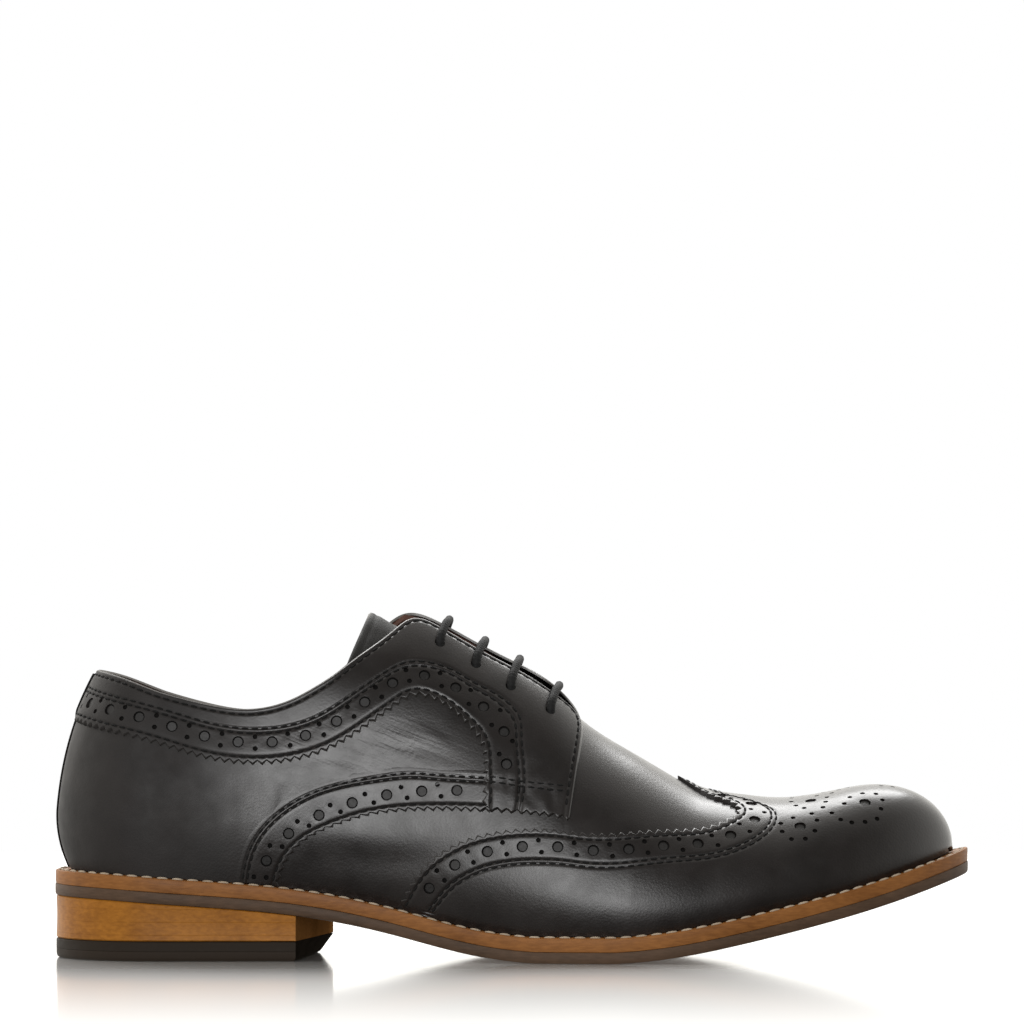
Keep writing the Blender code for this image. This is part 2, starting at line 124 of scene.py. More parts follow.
def bump(value: Array, place: float, width: float) -> Array:
    """Soft bump of height 1 at a place."""
    return np.exp(-((value - place) / width) ** 2)


def run_length(points: Array) -> Array:
    """Distance along a line of points, from 0 at its first point."""
    steps = np.linalg.norm(np.diff(points, axis=-2), axis=-1)
    start = np.zeros(steps.shape[:-1] + (1,))
    return np.concatenate((start, np.cumsum(steps, axis=-1)), axis=-1)


def unit(vectors: Array) -> Array:
    """Vectors of length 1."""
    return vectors / np.maximum(np.linalg.norm(vectors, axis=-1, keepdims=True), 1e-12)


def zigzag(turns: Array) -> Array:
    """Zigzag that is 0 at whole turns and 1 half-way between them."""
    return 1 - np.abs(2 * (turns % 1.0) - 1)


def between(places: Array, run: Array, values: Array) -> Array:
    """Values between the points of a line, at distances along it."""
    return np.stack([np.interp(places, run, column) for column in values.T], axis=1)


@dataclass
class Last:
    """Form that the upper is pulled over, with the sole line, nearly in the sizes of the part's source."""

    length: float = 306.0
    gap: float = 0.3
    outsole_thick: float = 3.8
    welt_thick: float = 4.8
    heel_x: float = 36.0
    ball_x: dict[Side, float] = field(default_factory=lambda: {Side.LATERAL: 192.0, Side.MEDIAL: 212.0})
    toe_lean: float = 4.0
    toe_lean_from: float = 190.0
    toe_power: float = 1.7
    upper_tip: float = 299.6
    front_x: float = 240.0
    heel_reach: float = 35.4
    heel_fullness: float = 2.55
    heel_tuck: float = 4.8
    belly: float = 0.22
    dome_x: float = 264.0
    dome_power: float = 2.42
    tuck_fade_width: float = 20.0
    # Station, half width of the sole and half width of the upper.
    plan: dict[Side, tuple] = field(default_factory=lambda: {
        Side.LATERAL: (
            (36.0, 34.0, 32.0), (60.0, 33.6, 31.4), (90.0, 34.0, 31.5), (115.0, 37.0, 34.2),
            (145.0, 44.0, 40.4), (170.0, 49.6, 45.3), (192.0, 51.5, 46.8),
        ),
        Side.MEDIAL: (
            (36.0, 33.5, 31.6), (60.0, 32.4, 30.6), (90.0, 29.6, 28.4), (115.0, 28.4, 27.6),
            (145.0, 34.0, 32.2), (170.0, 42.8, 39.6), (192.0, 49.4, 45.0), (212.0, 51.5, 46.8),
        ),
    })
    sole_line: tuple = (
        (0.0, 21.0), (20.0, 20.1), (40.0, 18.7), (75.0, 15.9), (95.0, 13.0), (115.0, 8.6), (128.0, 5.2),
        (142.0, 2.1), (156.0, 0.3), (166.0, -0.25), (182.0, -0.25), (194.0, 0.5), (206.0, 1.9),
        (221.0, 4.6), (236.0, 7.9), (251.0, 11.5), (266.0, 15.4), (281.0, 19.8), (306.0, 28.3),
    )
    # Station, height of the ridge, fullness and roundness of the crown, and tuck above the welt.
    sections: tuple = (
        (36.0, 124.0, 3.4, 1.1, 2.0), (66.0, 124.0, 3.4, 1.3, 2.4), (90.0, 122.3, 3.0, 1.6, 3.0),
        (105.0, 118.2, 2.6, 1.8, 3.3), (118.0, 117.3, 2.3, 2.0, 3.4), (132.0, 111.8, 2.2, 2.0, 3.3),
        (150.0, 100.6, 2.1, 2.0, 3.0), (168.0, 87.0, 2.0, 2.0, 2.4), (177.0, 78.9, 1.95, 2.0, 2.1),
        (186.0, 72.7, 1.95, 2.0, 1.9), (196.0, 66.9, 1.95, 2.0, 1.7), (208.0, 59.8, 2.0, 2.0, 1.5),
        (218.0, 55.1, 2.0, 2.1, 1.4), (228.0, 53.3, 2.1, 2.2, 1.3), (244.0, 52.0, 2.2, 2.3, 1.2),
        (256.0, 53.4, 2.3, 2.4, 1.1), (270.0, 56.2, 2.4, 2.4, 1.0), (290.0, 60.0, 2.4, 2.4, 0.8),
    )
    topline: tuple = (
        (4.0, 95.8), (20.0, 93.1), (36.0, 88.7), (55.0, 84.1), (66.0, 83.1), (77.0, 85.2), (88.0, 90.6),
        (98.4, 97.6), (111.6, 107.6), (120.0, 112.4), (132.0, 118.0),
    )
    medial_rise: tuple = ((4.0, 0.0), (40.0, -0.9), (85.0, -0.9), (105.0, 1.6), (119.0, 4.6), (132.0, 3.6))
    throat_x: float = 170.0
    throat_top_x: float = 118.0
    throat_blend: float = 10.0
    throat_half_top: dict[Side, float] = field(
        default_factory=lambda: {Side.LATERAL: 9.6, Side.MEDIAL: 6.5})
    throat_half_front: dict[Side, float] = field(
        default_factory=lambda: {Side.LATERAL: 12.6, Side.MEDIAL: 6.5})
    swell: float = 2.2
    swell_x: float = 98.0
    swell_width: float = 22.0
    swell_from: tuple[float, float] = (0.35, 0.76)
    swell_to: tuple[float, float] = (0.82, 0.95)

    def __post_init__(self) -> None:
        """Solves the splines of the tables."""
        self.sole_spline = Spline(self.sole_line)
        self.ridge_spline, self.fullness, self.roundness, self.tuck = (
            Spline(self.sections, column) for column in (1, 2, 3, 4))
        self.plan_splines = {
            (side, outline): Spline(self.plan[side], outline.value) for side in SIDES for outline in Outline}
        self.topline_spline = Spline(self.topline)
        self.rise_spline = Spline(self.medial_rise)
        self.seam_x = self.heel_x - (self.heel_reach - self.heel_tuck)

    def sole_bottom(self, x: Array) -> Array:
        """Height of the outsole's underside."""
        return np.maximum(self.sole_spline(np.clip(x, 0.0, self.length)), 0.0)

    def joint_line(self, x: Array) -> Array:
        """Height of the joint between outsole and welt."""
        return self.sole_bottom(x) + self.outsole_thick

    def feather(self, x: Array) -> Array:
        """Height of the upper's lower edge, just above the welt."""
        return self.joint_line(x) + self.welt_thick + self.gap

    def centre(self, x: Array) -> Array:
        """Sideways place of the centreline, which leans to the medial side at the toe."""
        t = np.clip((x - self.toe_lean_from) / (self.length - self.toe_lean_from), 0.0, 1.0)
        return self.toe_lean * t * t

    def half_width(self, x: Array, side: Side, outline: Outline, grow: Array = 0.0) -> Array:
        """Half width of the sole or of the upper, grown outwards all round.

        Args:
            x: Stations.
            side: Side of the shoe.
            outline: The outline that is asked for.
            grow: Growth of the outline.

        Returns:
            Half widths at the stations.
        """
        x = np.asarray(x, dtype=float)
        rows, ball, column = self.plan[side], self.ball_x[side], outline.value
        tip = self.length if outline is Outline.SOLE else self.upper_tip
        behind = np.maximum(self.heel_x - x, 0.0) / (self.heel_x + grow)
        heel = (rows[0][column] + grow) * np.sqrt(np.maximum(0.0, 1 - behind ** 2))
        waist = self.plan_splines[side, outline](np.clip(x, self.heel_x, ball)) + grow
        share = np.clip((x - ball) / (tip + grow - ball), 0.0, 1.0)
        toe = (rows[-1][column] + grow) * np.sqrt(1 - share ** self.toe_power)
        return np.where(x < self.heel_x, heel, np.where(x <= ball, waist, toe))

    def ridge(self, x: Array, grow: Array = 0.0) -> Array:
        """Height of the closed last's ridge, which falls to the feather line at the toe."""
        share = np.clip((x - self.dome_x) / (self.upper_tip + grow - self.dome_x), 0.0, 1.0)
        low = self.feather(x)
        return low + (self.ridge_spline(x) + grow - low) * np.sqrt(1 - share ** self.dome_power)

    def profile(self, width: Array, fullness: Array, roundness: Array, tuck: Array, height: Array) -> Array:
        """Half width at a share of the height: a crown above the belly and a tuck below it."""
        crown = width * np.maximum(1 - height ** fullness, 0.0) ** (1 / roundness)
        return crown - tuck * np.maximum(1 - height / self.belly, 0.0) ** 2

    def section(self, x: Array, side: Side, grow: Array) -> tuple[Array, Array, Array, Array]:
        """Width, fullness, roundness and tuck of the last's section at x."""
        width = self.half_width(x, side, Outline.UPPER, grow)
        tuck = self.tuck(x) * np.minimum(1.0, width / self.tuck_fade_width)
        return width, self.fullness(x), self.roundness(x), tuck

    def point(self, x: Array, height: Array, side: Side, grow: Array = 0.0) -> Array:
        """Points on the last.

        Args:
            x: Stations; behind heel_x they fan round the back of the heel.
            height: Shares of the height, from the feather line (0) to the ridge (1).
            side: Side of the shoe.
            grow: Millimetres that the last is grown by.

        Returns:
            Points in millimetres, in a last axis of three.
        """
        x, height, grow = np.broadcast_arrays(*(np.asarray(v, dtype=float) for v in (x, height, grow)))
        height = np.clip(height, 0.0, 1.0)
        ahead = np.clip((x - self.front_x) / (self.upper_tip - self.front_x), 0.0, 1.0)
        along = np.maximum(x + grow * ahead ** 2, self.heel_x)
        across = self.profile(*self.section(along, side, grow), height)
        fuller = ramp(height, *self.swell_from) * (1 - ramp(height, *self.swell_to))
        across = across + self.swell * bump(x, self.swell_x, self.swell_width) * fuller
        turn = np.clip((self.heel_x - x) / (self.heel_reach - self.heel_tuck), 0.0, 1.0)
        back = self.profile(self.heel_reach + grow, self.heel_fullness, 1.0, self.heel_tuck, height)
        low = self.feather(np.where(x < self.heel_x, x, along))
        top = np.where(x < self.heel_x, self.sections[0][1] + grow, self.ridge(along, grow))
        return np.stack((
            along - back * turn,
            self.centre(along) + side.value * across * np.sqrt(1 - turn ** 2),
            low + (top - low) * height,
        ), axis=-1)

    def height_at(self, x: Array, z: Array) -> Array:
        """Share of the height that lies at z in the section at x."""
        x = np.asarray(x, dtype=float)
        top = np.where(x < self.heel_x, self.sections[0][1], self.ridge(np.maximum(x, self.heel_x)))
        low = self.feather(x)
        return (z - low) / np.maximum(top - low, 1e-6)

    def height_at_offset(self, x: Array, side: Side, offset: Array, grow: Array = 0.0) -> Array:
        """Share of the height where the crown lies at an offset from the centreline."""
        width, fullness, roundness, _ = self.section(x, side, grow)
        return (1 - np.minimum(1.0, offset / np.maximum(width, 1e-6)) ** roundness) ** (1 / fullness)

    def collar_height(self, x: Array, side: Side) -> Array:
        """Share of the height of the upper's top edge: collar, then throat, then the closed ridge."""
        x = np.asarray(x, dtype=float)
        along = np.minimum(x, self.topline[-1][0])
        edge = self.topline_spline(along)
        if side is Side.MEDIAL:
            edge = edge + self.rise_spline(np.maximum(along, self.medial_rise[0][0]))
        collar = self.height_at(x, edge)
        slope = (x - self.throat_top_x) / (self.throat_x - self.throat_top_x)
        top, front = self.throat_half_top[side], self.throat_half_front[side]
        offset = np.maximum(top + (front - top) * slope, 0.0)
        throat = np.minimum(self.height_at_offset(np.maximum(x, self.heel_x), side, offset), collar)
        open_part = np.where(x < self.throat_top_x - self.throat_blend, collar, throat)
        return np.where(x > self.throat_x, 1.0, open_part)


LAST = Last()


class Nodes:
    """Node tree with a short way to add and join nodes."""

    def __init__(self, tree: bpy.types.NodeTree) -> None:
        """Takes the tree."""
        self.tree = tree

    def node(self, kind: str, inputs: dict, output: str | int = 0,
             **settings: object) -> bpy.types.NodeSocket:
        """Adds a node.

        Args:
            kind: Node type without its ShaderNode prefix.
            inputs: Values or sockets by input name or number.
            output: Name or number of the output to return.
            **settings: Properties of the node.

        Returns:
            The node's output socket.
        """
        made = self.tree.nodes.new("ShaderNode" + kind)
        for key, value in settings.items():
            setattr(made, key, value)
        for key, value in inputs.items():
            if isinstance(value, bpy.types.NodeSocket):
                self.tree.links.new(value, made.inputs[key])
            else:
                made.inputs[key].default_value = value
        return made.outputs[output]

    def span(self, value: bpy.types.NodeSocket, low: float, high: float, to_low: float = 0.0,
             to_high: float = 1.0) -> bpy.types.NodeSocket:
        """Value moved from one range to another, and kept inside it."""
        return self.node("MapRange", {
            "Value": value, "From Min": low, "From Max": high, "To Min": to_low, "To Max": to_high}, "Result")

    def math(self, operation: str, first: object, second: object) -> bpy.types.NodeSocket:
        """Result of an operation on two values."""
        return self.node("Math", {0: first, 1: second}, 0, operation=operation)


class Shader(Nodes):
    """Node tree of one material."""

    def __init__(self, name: str) -> None:
        """Starts a material that reads Object coordinates."""
        self.material = bpy.data.materials.new(name)
        self.material.use_nodes = True
        super().__init__(self.material.node_tree)
        self.bsdf = self.tree.nodes["Principled BSDF"]
        self.place = self.tree.nodes.new("ShaderNodeTexCoord").outputs["Object"]

    def noise(self, scale: float, detail: float = 3.0, place: Optional[bpy.types.NodeSocket] = None,
              roughness: float = 0.55) -> bpy.types.NodeSocket:
        """Noise from 0 to 1 with so many lumps a metre."""
        inputs = {"Vector": place or self.place, "Scale": scale, "Detail": detail, "Roughness": roughness}
        return self.node("TexNoise", inputs, "Fac")

    def stretch(self, x: float, y: float, z: float) -> bpy.types.NodeSocket:
        """Object coordinates scaled along the axes."""
        return self.node("Mapping", {"Vector": self.place, "Scale": (x, y, z)}, "Vector")

    def mix(self, share: bpy.types.NodeSocket, first: object, second: object) -> bpy.types.NodeSocket:
        """Colour between two colours or sockets."""
        first, second = ((*c, 1.0) if isinstance(c, tuple) else c for c in (first, second))
        return self.node("Mix", {0: share, 6: first, 7: second}, 2, data_type="RGBA")

    def attribute(self, name: str) -> bpy.types.NodeSocket:
        """Value of a piece's own attribute."""
        return self.node("Attribute", {}, "Fac", attribute_name=name)

    def relief(self, height: bpy.types.NodeSocket, depth: float, strength: float) -> None:
        """Bump of a depth in millimetres on the shader's normal."""
        normal = self.node("Bump", {"Height": height, "Distance": depth * MM, "Strength": strength}, "Normal")
        self.tree.links.new(normal, self.bsdf.inputs["Normal"])

    def dress(self, **values: object) -> bpy.types.Material:
        """Sets or joins the shader's sockets and returns the material."""
        for key, value in values.items():
            socket = self.bsdf.inputs[key.replace("_", " ").title().replace("Ior", "IOR")]
            if isinstance(value, bpy.types.NodeSocket):
                self.tree.links.new(value, socket)
            else:
                socket.default_value = (*value, 1.0) if isinstance(value, tuple) else value
        return self.material


@dataclass(frozen=True)
class Finish:
    """Surface of a piece; each kind has its own nodes."""

    name: str

    def material(self) -> bpy.types.Material:
        """The finish's material, made once."""
        return bpy.data.materials.get(self.name) or self.make(Shader(self.name))

    def make(self, shader: Shader) -> bpy.types.Material:
        """Builds the nodes."""
        raise NotImplementedError


@dataclass(frozen=True)
class Calf(Finish):
    """Polished calf leather with fine pores and paler cut edges, duller at the heel; on the tongue the pale
    edge is partly a painted highlight.
    """

    dark: tuple = (0.0096, 0.0073, 0.0066)
    light: tuple = (0.0182, 0.0143, 0.0132)
    cut: tuple = (0.17, 0.16, 0.148)
    gloss: tuple = (0.28, 0.39)
    heel_dull: float = 0.3
    heel_fade: tuple = (-0.11, -0.082)
    clouds: float = 55.0
    smears: float = 140.0
    pores: float = 1250.0
    grain_depth: float = 0.04
    crease_turn: float = 0.36
    crease_size: tuple = (1 / 55, 1 / 120, 1 / 620)
    crease_height: float = 2.3
    coat: float = 0.25
    coat_fade: tuple = (-0.104, -0.08)
    coat_roughness: float = 0.24
    shine: float = 0.5

    def make(self, shader: Shader) -> bpy.types.Material:
        """Cloudy colour, pores and a thin polish."""
        cloud = shader.span(shader.noise(self.clouds, 5.0), 0.32, 0.7)
        colour = shader.mix(cloud, self.dark, self.light)
        # Pale where the attribute is set: raw cut edges, and on the tongue also a painted highlight.
        colour = shader.mix(shader.attribute("cut_edge_and_sheen"), colour, self.cut)
        pore = shader.node("TexVoronoi", {"Vector": shader.place, "Scale": self.pores}, "Distance")
        grain = shader.math("ADD", pore, shader.noise(self.pores * 0.45, 3.0))
        along_creases = shader.node("Mapping", {
            "Vector": shader.place, "Rotation": (0.0, self.crease_turn, 0.0), "Scale": self.crease_size,
        }, "Vector", vector_type="TEXTURE")
        crease = shader.span(shader.noise(1.0, 3.0, along_creases), 0.36, 0.56)
        crease = shader.math("MULTIPLY", crease, shader.attribute("creased"))
        crease = shader.math("MULTIPLY", crease, self.crease_height)
        shader.relief(shader.math("ADD", grain, crease), self.grain_depth, 0.6)
        gloss = shader.span(shader.noise(self.smears, 4.0), 0.3, 0.72, *self.gloss)
        along = shader.node("SeparateXYZ", {"Vector": shader.place}, "X")
        gloss = shader.math("ADD", gloss, shader.span(along, *self.heel_fade, self.heel_dull, 0.0))
        coat = shader.span(along, *self.coat_fade, 0.0, self.coat)
        return shader.dress(base_color=colour, roughness=gloss, specular_ior_level=self.shine,
                            coat_weight=coat, coat_roughness=self.coat_roughness)


@dataclass(frozen=True)
class EdgeLeather(Finish):
    """Trimmed and stained edge of sole leather, with fibres that run along it."""

    dark: tuple = (0.205, 0.076, 0.0175)
    light: tuple = (0.37, 0.15, 0.039)
    roughness: float = 0.5
    fibres: tuple = (260.0, 260.0, 1300.0)
    clouds: float = 48.0
    shine: float = 0.22

    def make(self, shader: Shader) -> bpy.types.Material:
        """Long fibres and cloudy stain."""
        fibre = shader.noise(1.0, 4.0, shader.stretch(*self.fibres))
        cloud = shader.noise(self.clouds, 4.0)
        share = shader.span(shader.math("ADD", fibre, cloud), 0.7, 1.3)
        shader.relief(fibre, 0.12, 0.35)
        gloss = shader.span(cloud, 0.3, 0.7, self.roughness - 0.07, self.roughness + 0.08)
        return shader.dress(base_color=shader.mix(share, self.dark, self.light), roughness=gloss,
                            specular_ior_level=self.shine)


@dataclass(frozen=True)
class StackedLeather(Finish):
    """Honey stained heel of glued lifts, with fine lines between them."""

    dark: tuple = (0.29, 0.104, 0.0105)
    light: tuple = (0.5, 0.195, 0.023)
    line: tuple = (0.16, 0.058, 0.008)
    line_share: float = 0.085
    line_tone: float = 0.16
    lift: float = 4.3
    wobble: float = 0.4
    fibres: tuple = (420.0, 420.0, 900.0)
    clouds: float = 75.0
    roughness: float = 0.46
    shine: float = 0.2

    def make(self, shader: Shader) -> bpy.types.Material:
        """Lifts by height, fibres along them and clouds of stain."""
        height = shader.node("SeparateXYZ", {"Vector": shader.place}, "Z")
        wobble = shader.span(shader.noise(60.0, 2.0), 0.0, 1.0, -self.wobble * MM, self.wobble * MM)
        lifts = shader.math("MULTIPLY", shader.math("ADD", height, wobble), 1 / (self.lift * MM))
        joint = shader.span(shader.math("FRACT", lifts, 0.0), 0.0, self.line_share, 1.0, 0.0)
        fibre = shader.noise(1.0, 5.0, shader.stretch(*self.fibres))
        cloud = shader.noise(self.clouds, 4.0)
        share = shader.span(shader.math("ADD", fibre, cloud), 0.68, 1.32)
        colour = shader.mix(share, self.dark, self.light)
        faint = shader.math("MULTIPLY", joint, self.line_tone)
        shader.relief(shader.math("SUBTRACT", fibre, joint), 0.12, 0.3)
        return shader.dress(base_color=shader.mix(faint, colour, self.line), roughness=self.roughness,
                            specular_ior_level=self.shine)


@dataclass(frozen=True)
class TopRubber(Finish):
    """Rubber top piece: black above, a browner wearing layer below."""

    upper: tuple = (0.028, 0.0205, 0.0145)
    lower: tuple = (0.036, 0.026, 0.019)
    dusty: tuple = (0.055, 0.047, 0.04)
    layer: float = 3.3
    blend: float = 0.12
    gloss: tuple = (0.56, 0.72)
    shine: float = 0.15

    def make(self, shader: Shader) -> bpy.types.Material:
        """Two layers by height, with a dusty mottle."""
        height = shader.node("SeparateXYZ", {"Vector": shader.place}, "Z")
        share = shader.span(height, (self.layer - self.blend) * MM, (self.layer + self.blend) * MM)
        dust = shader.noise(420.0, 4.0)
        tone = shader.mix(share, self.lower, self.upper)
        tone = shader.mix(shader.span(dust, 0.5, 0.9, 0.0, 0.3), tone, self.dusty)
        shader.relief(dust, 0.12, 0.5)
        return shader.dress(base_color=tone, roughness=shader.span(dust, 0.3, 0.7, *self.gloss),
                            specular_ior_level=self.shine)


@dataclass(frozen=True)
class Plain(Finish):
    """Fibre or lining leather with a cloudy colour and a fine nap."""

    dark: tuple = (0.06, 0.019, 0.011)
    light: tuple = (0.125, 0.042, 0.022)
    roughness: float = 0.55
    nap: float = 1400.0
    depth: float = 0.08
    shine: float = 0.4

    def make(self, shader: Shader) -> bpy.types.Material:
        """Clouds of colour and a fine nap."""
        nap = shader.noise(self.nap, 3.0)
        share = shader.span(shader.math("ADD", nap, shader.noise(70.0, 4.0)), 0.72, 1.3)
        shader.relief(nap, self.depth, 0.6)
        gloss = shader.span(nap, 0.3, 0.7, self.roughness - 0.06, self.roughness + 0.08)
        return shader.dress(base_color=shader.mix(share, self.dark, self.light), roughness=gloss,
                            specular_ior_level=self.shine)


@dataclass(frozen=True)
class PaleFloor(Finish):
    """Pale board, polished under the shoe and duller away from it."""

    colour: tuple = (0.9, 0.9, 0.9, 1.0)
    roughness: float = 0.085
    polish: float = 0.78
    fade: tuple = (0.05, 0.44)
    far_polish: float = 0.05

    def make(self, shader: Shader) -> bpy.types.Material:
        """Matt white with a share of mirror that fades with the distance from the shoe."""
        across = shader.node("SeparateXYZ", {"Vector": shader.place}, "Y")
        distance = shader.math("ABSOLUTE", across, 0.0)
        share = shader.span(distance, *self.fade, self.polish, self.far_polish)
        mirror = shader.node("BsdfGlossy", {"Color": (1.0, 1.0, 1.0, 1.0), "Roughness": self.roughness})
        matt = shader.node("BsdfDiffuse", {"Color": self.colour})
        both = shader.node("MixShader", {0: share, 1: matt, 2: mirror})
        shader.tree.nodes.remove(shader.bsdf)
        shader.tree.links.new(both, shader.tree.nodes["Material Output"].inputs["Surface"])
        return shader.material


CALF = Calf("black_calf")
# The tongue's pale edge colour: a raw edge with a painted highlight on it.
TONGUE_CALF = Calf("tongue_calf", dark=(0.009, 0.0084, 0.0076), light=(0.017, 0.0158, 0.0142),
                   cut=(0.3, 0.29, 0.27), gloss=(0.56, 0.7), heel_dull=0.0, coat=0.0, shine=0.3)
TAN_WELT = EdgeLeather("tan_welt")
BROWN_EDGE = EdgeLeather("brown_edge", dark=(0.07, 0.041, 0.024), light=(0.125, 0.074, 0.045),
                         roughness=0.55)
HONEY_STACK = StackedLeather("honey_stack")
RUBBER = TopRubber("top_rubber")
LINING = Plain("lining_calf")
COTTON = Plain("lace_cotton", dark=(0.003, 0.003, 0.0032), light=(0.0105, 0.0103, 0.0105),
               roughness=0.74, nap=2600.0, depth=0.1)
BLACK_THREAD = Plain("black_thread", dark=(0.003, 0.003, 0.003), light=(0.008, 0.0077, 0.0077),
                     roughness=0.84, nap=3500.0)
CREAM_THREAD = Plain("cream_thread", dark=(0.34, 0.26, 0.18), light=(0.6, 0.5, 0.38),
                     roughness=0.7, nap=3500.0, depth=0.15)
# Near-black, rough and barely shiny: painted shade, laid on the ring round each hole floor, on the cut walls
# of the holes and on the back seam's piping.
SHADE_BLACK = Plain("shade_black", dark=(0.006, 0.0057, 0.0055), light=(0.014, 0.013, 0.0125),
                   roughness=0.88, depth=0.05, shine=0.1)
# Paler than the black calf: the underlay leather in the large holes, with painted light in its colour.
LIT_HOLE_FLOOR = Plain("hole_floor", dark=(0.014, 0.013, 0.0125), light=(0.032, 0.03, 0.029),
                   roughness=0.44, depth=0.05, shine=0.36)
RAW_RUBBER = Plain("raw_rubber", dark=(0.012, 0.01, 0.008), light=(0.026, 0.021, 0.017),
                   roughness=0.9, shine=0.0)
RAW_STACK = Plain("raw_stack", dark=(0.17, 0.075, 0.02), light=(0.29, 0.13, 0.04), roughness=0.9, shine=0.0)
FLOOR = PaleFloor("pale_floor")


def to_metres(points: Array) -> Array:
    """Points of the shoe in metres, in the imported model's frame."""
    moved = np.array(points, dtype=float) * MM
    moved[..., 0] -= LAST.length / 2 * MM
    return moved


def add_grid(bm: bmesh.types.BMesh, points: Array) -> list[bmesh.types.BMVert]:
    """Adds a sheet through a grid of points in millimetres and returns its vertices in the grid's order."""
    rows, columns = points.shape[:2]
    made = bmesh.ops.create_grid(bm, x_segments=columns - 1, y_segments=rows - 1, size=1.0)
    verts = made["verts"]
    for vert, place in zip(verts, to_metres(points).reshape(-1, 3)):
        vert.co = place
    return verts


@dataclass
class Skin:
    """Two matching grids of points, outer and inner, with what is worked into the outer face."""

    outer: Array
    inner: Array
    relief: Optional[Array] = None
    cut_edge_and_sheen: Optional[Array] = None
    creased: Optional[Array] = None


def solid_bmesh(skins: Sequence[Skin]) -> bmesh.types.BMesh:
    """Closed solid between the outer and inner grids of skins that share their edges.

    Args:
        skins: Skins in millimetres; relief raises or sinks the outer face, cut_edge_and_sheen goes from 0 to
            1.

    Returns:
        The solid, with its normals outwards.
    """
    bm = bmesh.new()
    partner = bm.verts.layers.float_vector.new("partner")
    height = bm.verts.layers.float.new("relief")
    edge = bm.verts.layers.float.new("cut_edge_and_sheen")
    folds = bm.verts.layers.float.new("creased")
    for skin in skins:
        empty = np.zeros(skin.outer.shape[:2])
        given = (skin.relief, skin.cut_edge_and_sheen, skin.creased)
        filled = [(empty if one is None else one).reshape(-1) for one in given]
        values = zip(add_grid(bm, skin.outer), to_metres(skin.inner).reshape(-1, 3), *filled)
        for vert, inner, rise, share, fold in values:
            vert[partner], vert[height], vert[edge], vert[folds] = inner, rise * MM, share, fold
    bmesh.ops.remove_doubles(bm, verts=bm.verts, dist=WELD)
    bmesh.ops.dissolve_degenerate(bm, dist=SPECK, edges=bm.edges)
    bmesh.ops.recalc_face_normals(bm, faces=bm.faces)
    bm.normal_update()
    outwards = sum(vert.normal.dot(vert.co - vert[partner]) for vert in bm.verts)
    if outwards < 0:
        bmesh.ops.reverse_faces(bm, faces=bm.faces)
        bm.normal_update()
    for vert in bm.verts:
        vert.co += vert.normal * vert[height]
    made = bmesh.ops.extrude_face_region(bm, geom=bm.faces[:])
    for part in made["geom"]:
        if isinstance(part, bmesh.types.BMVert):
            part.co = part[partner]
    bm.verts.layers.float_vector.remove(bm.verts.layers.float_vector["partner"])
    bm.verts.layers.float.remove(bm.verts.layers.float["relief"])
    bmesh.ops.recalc_face_normals(bm, faces=bm.faces)
    return bm


def ring_bmesh(rings: Array) -> bmesh.types.BMesh:
    """Closed solid through rings of points; its first and last rings are shut."""
    bm = bmesh.new()
    add_grid(bm, np.concatenate((rings, rings[:, :1]), axis=1))
    bmesh.ops.remove_doubles(bm, verts=bm.verts, dist=RING_WELD)
    bmesh.ops.holes_fill(bm, edges=[edge for edge in bm.edges if edge.is_boundary], sides=0)
    bmesh.ops.dissolve_degenerate(bm, dist=SPECK, edges=bm.edges)
    bmesh.ops.recalc_face_normals(bm, faces=bm.faces)
    return bm


def finish_mesh(name: str, bm: bmesh.types.BMesh, sharp: float = SHARP_ANGLE) -> bpy.types.Mesh:
    """Mesh of a bmesh, smooth but for edges sharper than an angle in degrees."""
    mesh = bpy.data.meshes.new(name)
    bm.to_mesh(mesh)
    bm.free()
    mesh.shade_smooth()
    mesh.set_sharp_from_angle(angle=math.radians(sharp))
    return mesh


def add_piece(mesh: bpy.types.Mesh, finish: Finish, slot: str, *nodes: str) -> bpy.types.Object:
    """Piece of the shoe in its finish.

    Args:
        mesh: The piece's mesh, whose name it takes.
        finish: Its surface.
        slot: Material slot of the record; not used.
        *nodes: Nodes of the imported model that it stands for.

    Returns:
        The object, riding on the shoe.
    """
    piece = bpy.data.objects.new(mesh.name, mesh)
    bpy.context.scene.collection.objects.link(piece)
    mesh.materials.append(finish.material())
    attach(piece, "root")
    if nodes:
        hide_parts(*nodes)
    LOG.info("%s: %d faces", piece.name, len(mesh.polygons))
    return piece


def joined_mesh(name: str, shape: bmesh.types.BMesh, axes: Array, places: Array) -> bpy.types.Mesh:
    """One mesh with a copy of a small shape at every place.

    Args:
        name: Name of the mesh.
        shape: The shape, in millimetres round its origin.
        axes: For each copy a matrix whose columns are the shape's x, y and z, with their scale.
        places: For each copy its place in millimetres.

    Returns:
        The joined mesh.
    """
    shape.verts.index_update()
    corners = np.array([vert.co for vert in shape.verts])
    faces = [[vert.index for vert in face.verts] for face in shape.faces]
    points = np.einsum("nij,kj->nki", axes, corners) + places[:, None, :]
    count = len(corners)
    joined = [[i + count * n for i in face] for n in range(len(places)) for face in faces]
    mesh = bpy.data.meshes.new(name)
    mesh.from_pydata(to_metres(points).reshape(-1, 3).tolist(), [], joined)
    mesh.shade_smooth()
    shape.free()
    return mesh


